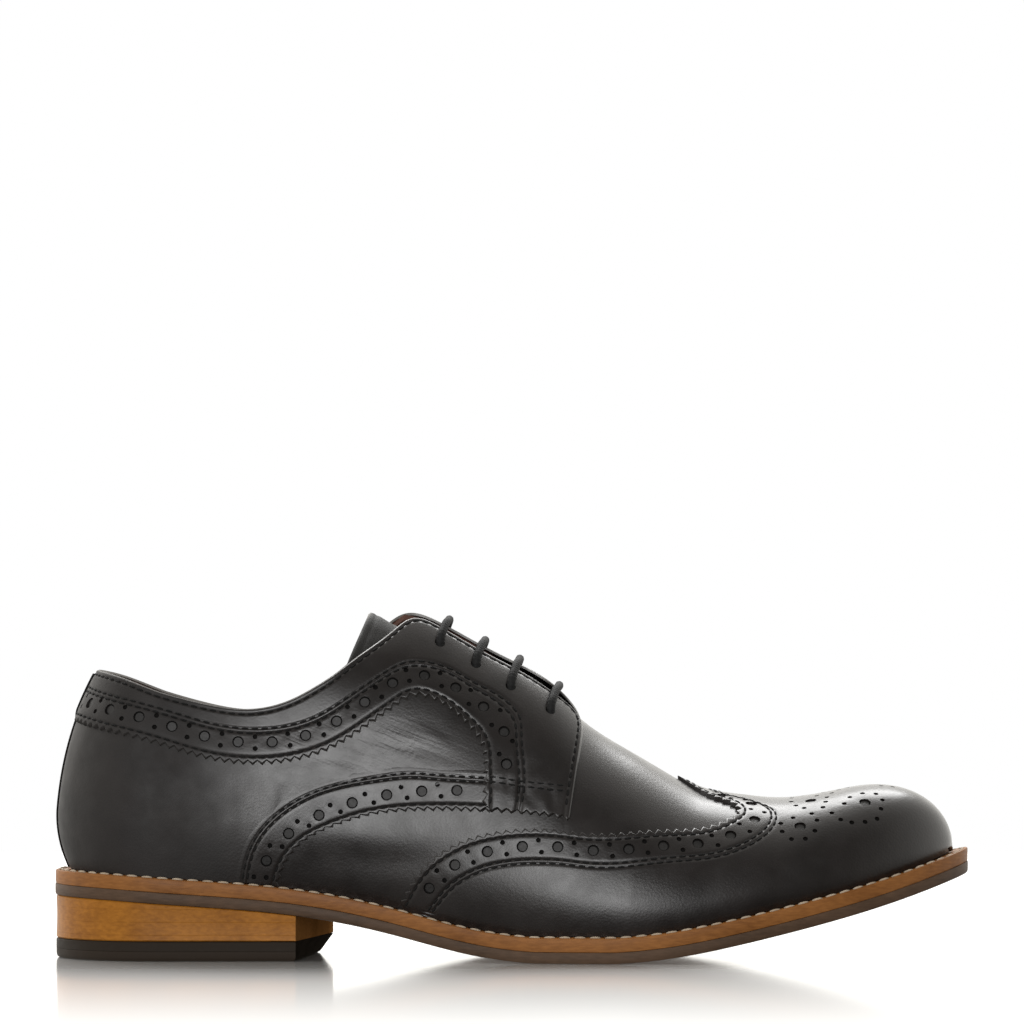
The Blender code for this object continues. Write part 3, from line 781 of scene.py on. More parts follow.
def punch(piece: bpy.types.Object, cutter: bpy.types.Mesh) -> None:
    """Cuts a mesh of many closed shapes out of a piece; the cut walls take the cutter's near-black dull
    finish, painted shade inside the holes.
    """
    # Painted shade: the cut walls of every hole take this near-black, dull finish.
    cutter.materials.append(SHADE_BLACK.material())
    tool = bpy.data.objects.new("punch", cutter)
    bpy.context.scene.collection.objects.link(tool)
    cut = piece.modifiers.new("punch", "BOOLEAN")
    cut.operation = "DIFFERENCE"
    cut.solver = "MANIFOLD"
    cut.object = tool
    ready = piece.evaluated_get(bpy.context.evaluated_depsgraph_get())
    mesh = bpy.data.meshes.new_from_object(ready)
    piece.modifiers.remove(cut)
    before, piece.data = piece.data, mesh
    LOG.info("%s: %d faces before its holes, %d after", piece.name, len(before.polygons), len(mesh.polygons))
    bpy.data.meshes.remove(before)
    bpy.data.objects.remove(tool)
    bpy.data.meshes.remove(cutter)
    mesh.set_sharp_from_angle(angle=math.radians(SHARP_ANGLE))
    mesh.name = piece.name


def stitch_shape(blunt: float = 0.6) -> bmesh.types.BMesh:
    """Small spindle along x, for one stitch; its ends are sharper where blunt is nearer 1."""
    shape = bmesh.new()
    bmesh.ops.create_uvsphere(shape, u_segments=6, v_segments=6, radius=1.0)
    for vert in shape.verts:
        vert.co.x = math.copysign(abs(vert.co.x) ** blunt, vert.co.x)
    return shape


def hole_shape(sides: int) -> bmesh.types.BMesh:
    """Upright drum for one punched hole."""
    shape = bmesh.new()
    bmesh.ops.create_cone(shape, cap_ends=True, segments=sides, radius1=1.0, radius2=1.0, depth=2.0)
    return shape


class Copies:
    """Many copies of one small shape that become one piece."""

    def __init__(self, name: str, finish: Finish, slot: str, shape: Callable[[], bmesh.types.BMesh]) -> None:
        """Starts with no copy."""
        self.name, self.finish, self.slot, self.shape = name, finish, slot, shape
        self.axes: list[Array] = []
        self.places: list[Array] = []

    def build(self) -> None:
        """Joins all copies to one piece."""
        mesh = joined_mesh(self.name, self.shape(), np.concatenate(self.axes), np.concatenate(self.places))
        mesh.set_sharp_from_angle(angle=math.radians(DRUM_ANGLE))
        add_piece(mesh, self.finish, self.slot)


class Stitching(Copies):
    """Rows of stitches that become one piece."""

    def row(self, line: Array, across: Array, pitch: float, length: float, radius: float,
            slant: float = 0.0) -> None:
        """Adds a row.

        Args:
            line: Points that the row follows.
            across: For each point a direction across the row, in the surface.
            pitch: Distance from stitch to stitch.
            length: Length of a stitch.
            radius: Half of the thread's thickness.
            slant: How far each stitch leans across the row, as a share of its length.
        """
        run = run_length(line)
        count = int(run[-1] / pitch)
        at = (np.arange(count) + 0.5) * run[-1] / count
        reach = 0.4 * pitch
        ahead = unit(between(at + reach, run, line) - between(at - reach, run, line))
        up = unit(np.cross(ahead, between(at, run, across)))
        beside = np.cross(up, ahead)
        lean = unit(ahead + slant * beside)
        side = np.cross(up, lean)
        self.axes.append(np.stack((lean * length / 2, side * radius, up * radius), axis=2))
        self.places.append(between(at, run, line))


@dataclass
class HoleFloors:
    """Floors of all holes: a dark disc of painted shade in each, whose rim shows as the shaded ring round the
    floor, and on it in the large holes a paler disc whose colour is painted light on the leather below.
    """

    half: float = 0.15
    shade_share: float = 1.06
    lit_share: float = 0.76
    lit_rise: float = 0.14
    large: float = 1.2
    sides: int = 12

    def __post_init__(self) -> None:
        """Starts with no floor."""
        self.dark, self.pale = (
            Copies(name, finish, "black_leather", lambda: hole_shape(self.sides))
            for name, finish in (("hole_shade_discs", SHADE_BLACK), ("hole_lit_centres", LIT_HOLE_FLOOR)))

    def add(self, places: Array, axes: Array, radii: Array, depth: float) -> None:
        """Lays floors into holes.

        Args:
            places: Middles of the holes, on the outer face.
            axes: For each hole a matrix whose columns are two directions across it and the way out.
            radii: Radii of the holes.
            depth: Depth of the floors below the outer face.
        """
        # Dark discs are painted shade and pale discs painted light: shaded and lit copies of the same
        # underlay leather.
        kinds = ((self.dark, 0.0, self.shade_share, 0.0),
                 (self.pale, self.large, self.lit_share, self.lit_rise))
        for copies, least, share, rise in kinds:
            chosen = radii > least
            reach = radii[chosen] * share
            size = np.stack((reach, reach, np.full(len(reach), self.half)), axis=1)
            copies.axes.append(axes[chosen] * size[:, None, :])
            copies.places.append(places[chosen] - axes[chosen][:, :, 2] * (depth + self.half - rise))

    def build(self) -> None:
        """Joins the floors to two pieces."""
        self.dark.build()
        self.pale.build()


class Holes:
    """Punched holes of one piece."""

    def __init__(self) -> None:
        """Starts with no hole."""
        self.places: list[Array] = []
        self.normals: list[Array] = []
        self.radii: list[float] = []

    def add(self, place: Array, normal: Array, radius: float) -> None:
        """Adds one hole through a surface."""
        self.places.append(place)
        self.normals.append(normal)
        self.radii.append(radius)

    def axes(self) -> Array:
        """For each hole two directions across it and the way out, as columns."""
        up = unit(np.array(self.normals))
        first = unit(np.cross(up, np.array(HOLE_ASLANT)))
        return np.stack((first, np.cross(up, first), up), axis=2)

    def cutter(self, depth: float, sides: int = 14) -> bpy.types.Mesh:
        """Drums for all holes, reaching a depth above and below the surface."""
        size = np.array([(radius, radius, depth) for radius in self.radii])
        return joined_mesh("punch", hole_shape(sides), self.axes() * size[:, None, :], np.array(self.places))

    def floors(self, floors: HoleFloors, depth: float) -> None:
        """Lays a floor into every hole, at a depth below the surface."""
        floors.add(np.array(self.places), self.axes(), np.array(self.radii), depth)

    def sink(self, points: Array, depth: float, reach: float) -> Array:
        """How far the leather round the holes is pressed in, for a grid of points."""
        flat = points.reshape(-1, 3)
        pressed = np.zeros(len(flat))
        for place, radius in zip(self.places, self.radii):
            away = np.linalg.norm(flat - place, axis=1) - radius
            pressed = np.maximum(pressed, bump(np.maximum(away, 0.0), 0.0, reach))
        return -depth * pressed.reshape(points.shape[:2])


@dataclass
class SoleUnit:
    """Outsole, welt with its seam, heel block and top piece."""

    welt_inset: float = 0.15
    heel_inset: float = 0.35
    top_piece_thick: float = 6.6
    top_piece_corner: float = 4.5
    block_rise: float = 0.15
    block_short: float = 0.1
    breast: dict[Side, float] = field(default_factory=lambda: {Side.LATERAL: 81.3, Side.MEDIAL: 92.5})
    breast_normal: float = 0.6
    seam_inset: float = 1.7
    seam_groove: float = 0.3
    seam_rise: float = 0.04
    seam_dip: float = 0.3
    seam_dip_x: tuple[float, float] = (290.0, 299.0)
    stitch_pitch: float = 5.05
    stitch_length: float = 4.3
    stitch_radius: float = 0.5
    stitch_slant: float = 0.06
    stations: int = 250
    heel_stations: tuple[int, int] = (60, 25)

    def rim(self, x: Array, side: Side, grow: float, height: Array) -> Array:
        """Points over the sole's outline on one side, grown outwards."""
        y = LAST.centre(x) + side.value * LAST.half_width(x, side, Outline.SOLE, grow)
        return np.stack((x, y, height), axis=1)

    def ring(self, levels: Sequence[tuple[float, float]]) -> Array:
        """Rings of a plate with the sole's outline.

        Args:
            levels: Growth of the outline and height above the sole's underside, from the top's inside to the
                bottom's.

        Returns:
            Rings of points, one for each station.
        """
        share = (1 - np.cos(np.linspace(0, math.pi, self.stations + 1))) / 2
        columns = []
        for side, ordered in zip(SIDES, (levels, reversed(levels))):
            for grow, rise in ordered:
                x = share * (LAST.length + 2 * grow) - grow
                columns.append(self.rim(x, side, grow, LAST.sole_bottom(x) + rise))
        return np.stack(columns, axis=1)

    def plate(self, name: str, levels: Sequence[tuple[float, float]], finish: Finish, node: str) -> None:
        """Makes a plate from its levels, in place of its node."""
        add_piece(finish_mesh(name, ring_bmesh(self.ring(levels))), finish, node, node)

    def outsole(self) -> None:
        """Leather outsole with rounded edges and the seam's channel underneath."""
        top = LAST.outsole_thick + 0.05
        self.plate("outsole_leather", [
            (-12.0, top), (-0.4, top), (-0.15, top - 0.08), (-0.03, top - 0.3), (0.0, 1.9), (-0.04, 0.7),
            (-0.2, 0.25), (-0.6, 0.04), (-1.4, 0.0), (-6.2, 0.0), (-6.6, 0.35), (-7.0, 0.0), (-12.0, 0.0),
        ], BROWN_EDGE, "outsole")

    def welt(self) -> None:
        """Tan welt with a groove for its seam."""
        edge, low = -self.welt_inset, LAST.outsole_thick
        groove, top = edge - self.seam_inset, low + LAST.welt_thick
        self.plate("welt_strip", [
            (-14.0, top), (groove - 1.0, top), (groove - 0.5, top - 0.2), (groove, top - self.seam_groove),
            (groove + 0.5, top - 0.22), (groove + 0.9, top - 0.05), (edge - 0.55, top - 0.06),
            (edge - 0.15, top - 0.25), (edge, top - 0.65), (edge + 0.04, top - 2.2), (edge, low + 0.6),
            (edge - 0.08, low + 0.2), (edge - 0.3, low + 0.05), (-14.0, low + 0.05),
        ], TAN_WELT, "welt")

    def seam(self) -> None:
        """Cream stitches all round the welt."""
        height = LAST.outsole_thick + LAST.welt_thick + self.seam_rise
        rows = self.ring([(-self.welt_inset - self.seam_inset, height)])
        rows[..., 2] -= self.seam_dip * ramp(rows[..., 0], *self.seam_dip_x)
        line = np.concatenate((rows[:, 0], rows[-2:0:-1, 1], rows[:1, 0]))
        step = np.roll(line, -1, axis=0) - np.roll(line, 1, axis=0)
        step[-1] = step[0]
        across = unit(np.cross(step, np.array([0.0, 0.0, 1.0])))
        seam = Stitching("welt_stitches", CREAM_THREAD, "welt", lambda: stitch_shape(1.0))
        seam.row(line, across, self.stitch_pitch, self.stitch_length, self.stitch_radius, self.stitch_slant)
        seam.build()

    def heel_ring(self, levels: Sequence[tuple[float, float, float, float, float]]) -> Array:
        """Rings of a heel lift.

        Args:
            levels: Growth of the outline, setback of the breast, cut of its medial corner, height, and the
                share of the block's own height that is added to it.

        Returns:
            Rings of points from the back to the breast.
        """
        back, front = self.heel_stations
        turn = 1 - np.cos(np.linspace(0, math.pi / 2, back))
        ahead = np.linspace(0, 1, front)[1:]
        columns = []
        for side, ordered in zip(SIDES, (levels, reversed(levels))):
            for grow, setback, corner, height, share in ordered:
                cut = corner if side is Side.MEDIAL else 0.0
                reach = self.breast[side] - setback - cut - LAST.heel_x
                x = np.concatenate((turn * (LAST.heel_x + grow) - grow, LAST.heel_x + ahead * reach))
                rise = (LAST.sole_bottom(x) - self.top_piece_thick - self.block_short) * share
                columns.append(self.rim(x, side, grow, height + rise))
        return np.stack(columns, axis=1)

    def heel(self) -> None:
        """Stacked heel block and its rubber top piece, both raw at the breast."""
        inset, split, corner = -self.heel_inset, self.top_piece_thick, self.top_piece_corner
        foot = split + self.block_rise
        block = [(inset - 0.5, 0.0, 0.0, foot, 1.0), (inset - 0.05, 0.0, 0.0, foot, 0.965)]
        for share in (0.8, 0.6, 0.4, 0.2):
            block.append((inset - 0.25 * math.sin(math.pi * share), 0.0, 0.0, foot, share))
        block += [(inset - 0.04, 0.0, 0.0, foot, 0.03), (inset - 0.4, 0.1, 0.0, foot, 0.0)]
        lift = [(inset - 0.45, 0.2, 0.0, split, 0.0), (inset - 0.02, 0.0, 0.2, split - 0.4, 0.0),
                (inset, 0.0, 0.5 * corner, 3.4, 0.0), (inset - 0.12, 0.05, 0.52 * corner, 3.3, 0.0),
                (inset, 0.0, 0.54 * corner, 3.2, 0.0), (inset - 0.06, 0.0, corner - 0.8, 1.4, 0.0),
                (inset - 0.4, 0.3, corner - 0.3, 0.45, 0.0), (inset - 1.1, 0.9, corner, 0.0, 0.0)]
        for name, levels, finish, raw, slot, node in (
                ("heel_stack", block, HONEY_STACK, RAW_STACK, "heel_stack", "heel_block"),
                ("heel_rubber", lift, RUBBER, RAW_RUBBER, "top_piece", "heel_top_piece")):
            piece = add_piece(finish_mesh(name, ring_bmesh(self.heel_ring(levels))), finish, slot, node)
            piece.data.materials.append(raw.material())
            for face in piece.data.polygons:
                face.material_index = int(face.normal.x > self.breast_normal)

    def build(self) -> None:
        """Makes all pieces of the sole."""
        self.outsole()
        self.welt()
        self.seam()
        self.heel()


def no_lift(x: Array, height: Array) -> Array:
    """Leather that lies flat on the upper."""
    return np.zeros(np.broadcast(x, height).shape)


@dataclass
class Strip:
    """Overlay leather on one side, as columns that cross it from its gimped edge to its far edge.

    The start, bend and end of each column are pairs of station and crown angle; the sine of the angle is the
    share of the height. Places on the strip are a column number and a distance from the gimped edge.
    """

    side: Side
    start: Array
    bend: Array
    end: Array
    lift: Callable[[Array, Array], Array] = no_lift
    samples: int = 49
    near: float = 13.0
    far: float = 3.0
    inside: float = 0.04
    room: tuple[float, float] = (0.7, 0.6)
    least_slope: float = 0.2
    smooth: int = 9
    probe_along: float = 0.6
    probe_across: float = 0.4
    probe_out: float = 0.5

    def __post_init__(self) -> None:
        """Measures every column."""
        self.count = len(self.start)
        self.shares = np.linspace(0, 1, self.samples)
        columns = np.arange(self.count, dtype=float)[:, None]
        self.runs = run_length(self.surface(columns, self.shares[None, :], 0.0))
        self.width = self.runs[:, -1]
        self.stretch = np.ones(self.count)

    def square(self) -> None:
        """Counts distances near the gimped edge square to it, where the columns cross it aslant."""
        columns = np.arange(self.count, dtype=float)
        edge, inside = (
            self.surface(columns, np.full(self.count, share), 0.0) for share in (0.0, self.inside))
        lean = np.sum(unit(inside - edge) * unit(np.gradient(edge, axis=0)), axis=1)
        most = (self.room[0] * self.width + self.room[1] * self.far) / self.near
        stretch = np.minimum(1 / np.sqrt(np.maximum(1 - lean ** 2, self.least_slope)), np.maximum(most, 1.0))
        window = 2 * self.smooth + 1
        padded = np.pad(stretch, self.smooth, mode="edge")
        self.stretch = np.convolve(padded, np.ones(window) / window, mode="valid")

    def plane(self, column: Array, share: Array) -> tuple[Array, Array]:
        """Station and height at a share of a column."""
        column = np.clip(column, 0, self.count - 1)
        i = np.minimum(column.astype(int), self.count - 2)
        part = (column - i)[..., None]
        start, bend, end = (v[i] * (1 - part) + v[i + 1] * part for v in (self.start, self.bend, self.end))
        t = np.asarray(share)[..., None]
        both = (1 - t) ** 2 * start + 2 * t * (1 - t) * bend + t * t * end
        return both[..., 0], np.sin(np.clip(both[..., 1], 0.0, math.pi / 2))

    def surface(self, column: Array, share: Array, grow: Array) -> Array:
        """Points at a share of a column, above the upper by a growth."""
        column, share = np.broadcast_arrays(column, share)
        x, height = self.plane(column, share)
        return LAST.point(x, height, self.side, grow + self.lift(x, height))

    def point(self, column: Array, distance: Array, grow: Array = 0.0) -> Array:
        """Points at a distance from the gimped edge, along their columns."""
        column, distance = np.broadcast_arrays(np.asarray(column, float), np.asarray(distance, float))
        i = np.clip(column.astype(int), 0, self.count - 2)
        part = (np.clip(column, 0, self.count - 1) - i)[..., None]
        run = self.runs[i] * (1 - part) + self.runs[i + 1] * part
        stretch = self.stretch[i] * (1 - part[..., 0]) + self.stretch[i + 1] * part[..., 0]
        far = np.maximum(run[..., -1] - self.far, self.near)
        share = (distance - self.near) / np.maximum(far - self.near, 1e-6)
        middle = self.near * stretch + (far - self.near * stretch) * share
        further = np.where(distance < far, middle, distance)
        distance = np.where(distance < self.near, distance * stretch, further)
        k = np.clip((run <= distance[..., None]).sum(axis=-1) - 1, 0, self.samples - 2)
        low = np.take_along_axis(run, k[..., None], -1)[..., 0]
        high = np.take_along_axis(run, k[..., None] + 1, -1)[..., 0]
        inside = np.clip((distance - low) / np.maximum(high - low, 1e-9), 0.0, 1.0)
        return self.surface(column, (k + inside) / (self.samples - 1), grow)

    def frame_at(self, column: Array, distance: Array, grow: Array) -> tuple[Array, Array, Array]:
        """Points with the direction across the strip and the outward normal there."""
        column = np.asarray(column)
        here = self.point(column, distance, grow)
        across = unit(self.point(column, distance + self.probe_across, grow)
                      - self.point(column, distance - self.probe_across, grow))
        along = (self.point(column + self.probe_along, distance, grow)
                 - self.point(column - self.probe_along, distance, grow))
        normal = unit(np.cross(along, across))
        outwards = self.point(column, distance, grow + self.probe_out) - here
        normal = normal * np.sign(np.sum(normal * outwards, axis=-1, keepdims=True))
        return here, across, normal


def smooth_line(side: Side, rows: Sequence[tuple[float, float]], count: int) -> tuple[Array, Array]:
    """Smooth line on the last through some stations and heights.

    Args:
        side: Side of the shoe.
        rows: Stations and shares of the height.
        count: Number of points wanted, evenly spaced on the leather.

    Returns:
        Pairs of station and crown angle, and for each point its place along the rows, counted in rows.
    """
    x = np.array([row[0] for row in rows])
    angle = np.arcsin(np.clip([row[1] for row in rows], 0.0, 1.0))
    run = run_length(LAST.point(x, np.sin(angle), side))
    fine = np.linspace(0, run[-1], LINE_SAMPLES)
    fine_x = Spline(np.stack((run, x), axis=1))(fine)
    fine_angle = np.clip(Spline(np.stack((run, angle), axis=1))(fine), 0.0, math.pi / 2)
    real = run_length(LAST.point(fine_x, np.sin(fine_angle), side))
    at = np.interp(np.linspace(0, real[-1], count), real, fine)
    pairs = np.stack((np.interp(at, fine, fine_x), np.interp(at, fine, fine_angle)), axis=1)
    return pairs, np.interp(at, run, np.arange(len(rows)))


def beside_line(x: Array, z: Array, line: Sequence[tuple[float, float]]) -> Array:
    """Distance of points from a line in the side view, positive to the left of its run."""
    near = np.full(np.shape(x), np.inf)
    signed = np.zeros(np.shape(x))
    for (x0, z0), (x1, z1) in zip(line[:-1], line[1:]):
        dx, dz = x1 - x0, z1 - z0
        share = np.clip(((x - x0) * dx + (z - z0) * dz) / (dx * dx + dz * dz), 0.0, 1.0)
        away = np.hypot(x - x0 - share * dx, z - z0 - share * dz)
        turn = np.sign(dx * (z - z0) - dz * (x - x0))
        signed = np.where(away < near, turn * away, signed)
        near = np.minimum(near, away)
    return signed


# Swing and turns of a crease's line, how fast it fades in, and its ridge's rise, place and width.
CREASE_WAVE = (0.7, 5.0)
CREASE_FADE = 3.0
CREASE_RIDGE = (0.7, 1.8, 1.2)


def crease_relief(x: Array, z: Array, creases: Sequence[tuple]) -> Array:
    """Relief of soft troughs with a ridge beside each, given in the side view.

    Args:
        x: Stations of the points.
        z: Heights of the points.
        creases: For each crease its two ends, its depth and its half width.

    Returns:
        Rise of the leather at the points.
    """
    relief = np.zeros_like(x)
    swing, turns = CREASE_WAVE
    rise, beside, broad = CREASE_RIDGE
    for x0, z0, x1, z1, depth, width in creases:
        dx, dz = x1 - x0, z1 - z0
        share = ((x - x0) * dx + (z - z0) * dz) / (dx * dx + dz * dz)
        away = ((x - x0) * dz - (z - z0) * dx) / math.hypot(dx, dz) + swing * np.sin(turns * share)
        fade = np.clip(share * CREASE_FADE, 0, 1) * np.clip((1 - share) * CREASE_FADE, 0, 1)
        ridge = rise * bump(away, beside * width, broad * width)
        relief = relief - depth * fade * (bump(away, 0.0, width) - ridge)
    return relief


@dataclass
class Overlay:
    """What every punched overlay shares: thickness, gimped edge, rows of stitches and holes."""

    thick: float = 1.35
    sunk: float = 0.05
    tooth_pitch: float = 3.15
    tooth_depth: float = 1.5
    tooth_fade: float = 2.2
    edge_round: float = 0.2
    round_width: float = 0.22
    raw: float = 0.14
    raw_width: float = 0.16
    edge_stitch: float = 2.5
    double_stitch: tuple[float, float] = (10.6, 12.1)
    hole_line: float = 6.3
    hole_pitch: float = 11.3
    hole_radius: float = 1.95
    hole_clear: float = 0.4
    pin_radius: float = 0.84
    pin_reach: float = 2.05
    pin_clear: float = 1.0
    stitch_pitch: float = 3.2
    stitch_length: float = 2.4
    stitch_radius: float = 0.38
    stitch_sunk: float = 0.15
    groove: float = 0.28
    groove_width: float = 0.42
    hole_depth: float = 0.86
    hole_sink: float = 0.05
    sink_reach: float = 0.5
    cutter_depth: float = 2.6
    columns_per_tooth: int = 4
    near_rows: tuple = (
        0.0, 0.1, 0.25, 0.5, 0.85, 1.25, 1.7, 2.1, 2.5, 2.9, 3.4, 4.1, 4.9, 5.6, 6.3, 7.0, 7.7, 8.5, 9.3, 9.9,
        10.25, 10.6, 10.95, 11.25, 11.55, 11.9, 12.25, 12.7,
    )

    def column_count(self, length: float) -> int:
        """Number of columns along an edge, so that every tooth has its tip and valley on columns."""
        return int(round(length / self.tooth_pitch)) * self.columns_per_tooth + 1

    def strip_between(self, side: Side, inner: Sequence[tuple[float, float]],
                      outer: Sequence[tuple[float, float]],
                      lift: Callable[[Array, Array], Array] = no_lift) -> Strip:
        """Straight columns from a gimped edge to a far edge.

        Args:
            side: Side of the shoe.
            inner: Stations and heights along the gimped edge.
            outer: Stations and heights along the far edge, as many.
            lift: Rise of the leather off the upper.

        Returns:
            The strip.
        """
        length = run_length(LAST.point(*np.array(inner).T, side))[-1]
        start, rows = smooth_line(side, inner, self.column_count(length))
        table = [(i, x, math.asin(min(1.0, max(0.0, height)))) for i, (x, height) in enumerate(outer)]
        end = np.stack([Spline(table, column)(rows) for column in (1, 2)], axis=1)
        return Strip(side, start, (start + end) / 2, end, lift)

    def gimped(self, columns: Array, distances: Array) -> Array:
        """Distances moved in at the valleys of the gimped edge, fading away from it."""
        fade = 1 - np.clip(distances / self.tooth_fade, 0.0, 1.0)
        return distances + self.tooth_depth * zigzag(columns / self.columns_per_tooth) * fade

    def rounding(self, distances: Array) -> Array:
        """Drop of the outer face at a cut edge."""
        return -self.edge_round * bump(distances, 0.0, self.round_width)

    def raw_edge(self, distances: Array) -> Array:
        """Paleness of the raw leather at a cut edge."""
        return self.raw * bump(distances, 0.0, self.raw_width)

    def grooves(self, distances: Array, rows: Sequence[float]) -> Array:
        """Furrows that the stitches lie in."""
        return sum(-self.groove * bump(distances, row, self.groove_width) for row in rows)

    def cover(self, columns: Array, distances: Array) -> Array:
        """Height of the outer face above the upper, at distances from the gimped edge."""
        return self.thick + 0.0 * columns * distances

    def make(self, name: str, node: str, skins: Sequence[Skin], holes: Holes) -> None:
        """Makes the piece in place of a node and punches its holes."""
        piece = add_piece(finish_mesh(name, solid_bmesh(skins)), CALF, "black_leather", node)
        punch(piece, holes.cutter(self.cutter_depth))

    def sew(self, strip: Strip, seam: Stitching, distances: Array, columns: Array) -> None:
        """Sews a row along some columns, at distances from the gimped edge."""
        distances = np.broadcast_to(distances, columns.shape)
        line, across, normal = strip.frame_at(columns, distances, self.cover(columns, distances))
        line = line - self.stitch_sunk * normal
        seam.row(line, across, self.stitch_pitch, self.stitch_length, self.stitch_radius)

    def perforate(self, strip: Strip, holes: Holes, first: float, last: float, offset: float) -> None:
        """Punches the row of large holes with a pair of small ones between each two.

        Args:
            strip: The overlay.
            holes: Where the holes are collected.
            first: First column.
            last: Last column.
            offset: Distance of the first large hole along the row.
        """
        step = 0.5
        columns = np.arange(first, last + step / 2, step)
        run = run_length(strip.point(columns, np.full(len(columns), self.hole_line)))
        large = np.arange(offset, run[-1] - self.hole_radius - self.hole_clear, self.hole_pitch)
        small = np.arange(offset - self.hole_pitch / 2, run[-1] - self.pin_clear, self.hole_pitch)
        for place in large:
            self.hole(strip, holes, np.interp(place, run, columns), self.hole_line, self.hole_radius)
        for place in small[small > self.pin_reach]:
            for reach in (-self.pin_reach, self.pin_reach):
                column = np.interp(place, run, columns)
                self.hole(strip, holes, column, self.hole_line + reach, self.pin_radius)

    def hole(self, strip: Strip, holes: Holes, column: float, distance: float, radius: float) -> None:
        """Punches one hole."""
        column, distance = np.array([column]), np.array([distance])
        place, _, normal = strip.frame_at(column, distance, self.cover(column, distance))
        holes.add(place[0], normal[0], radius)


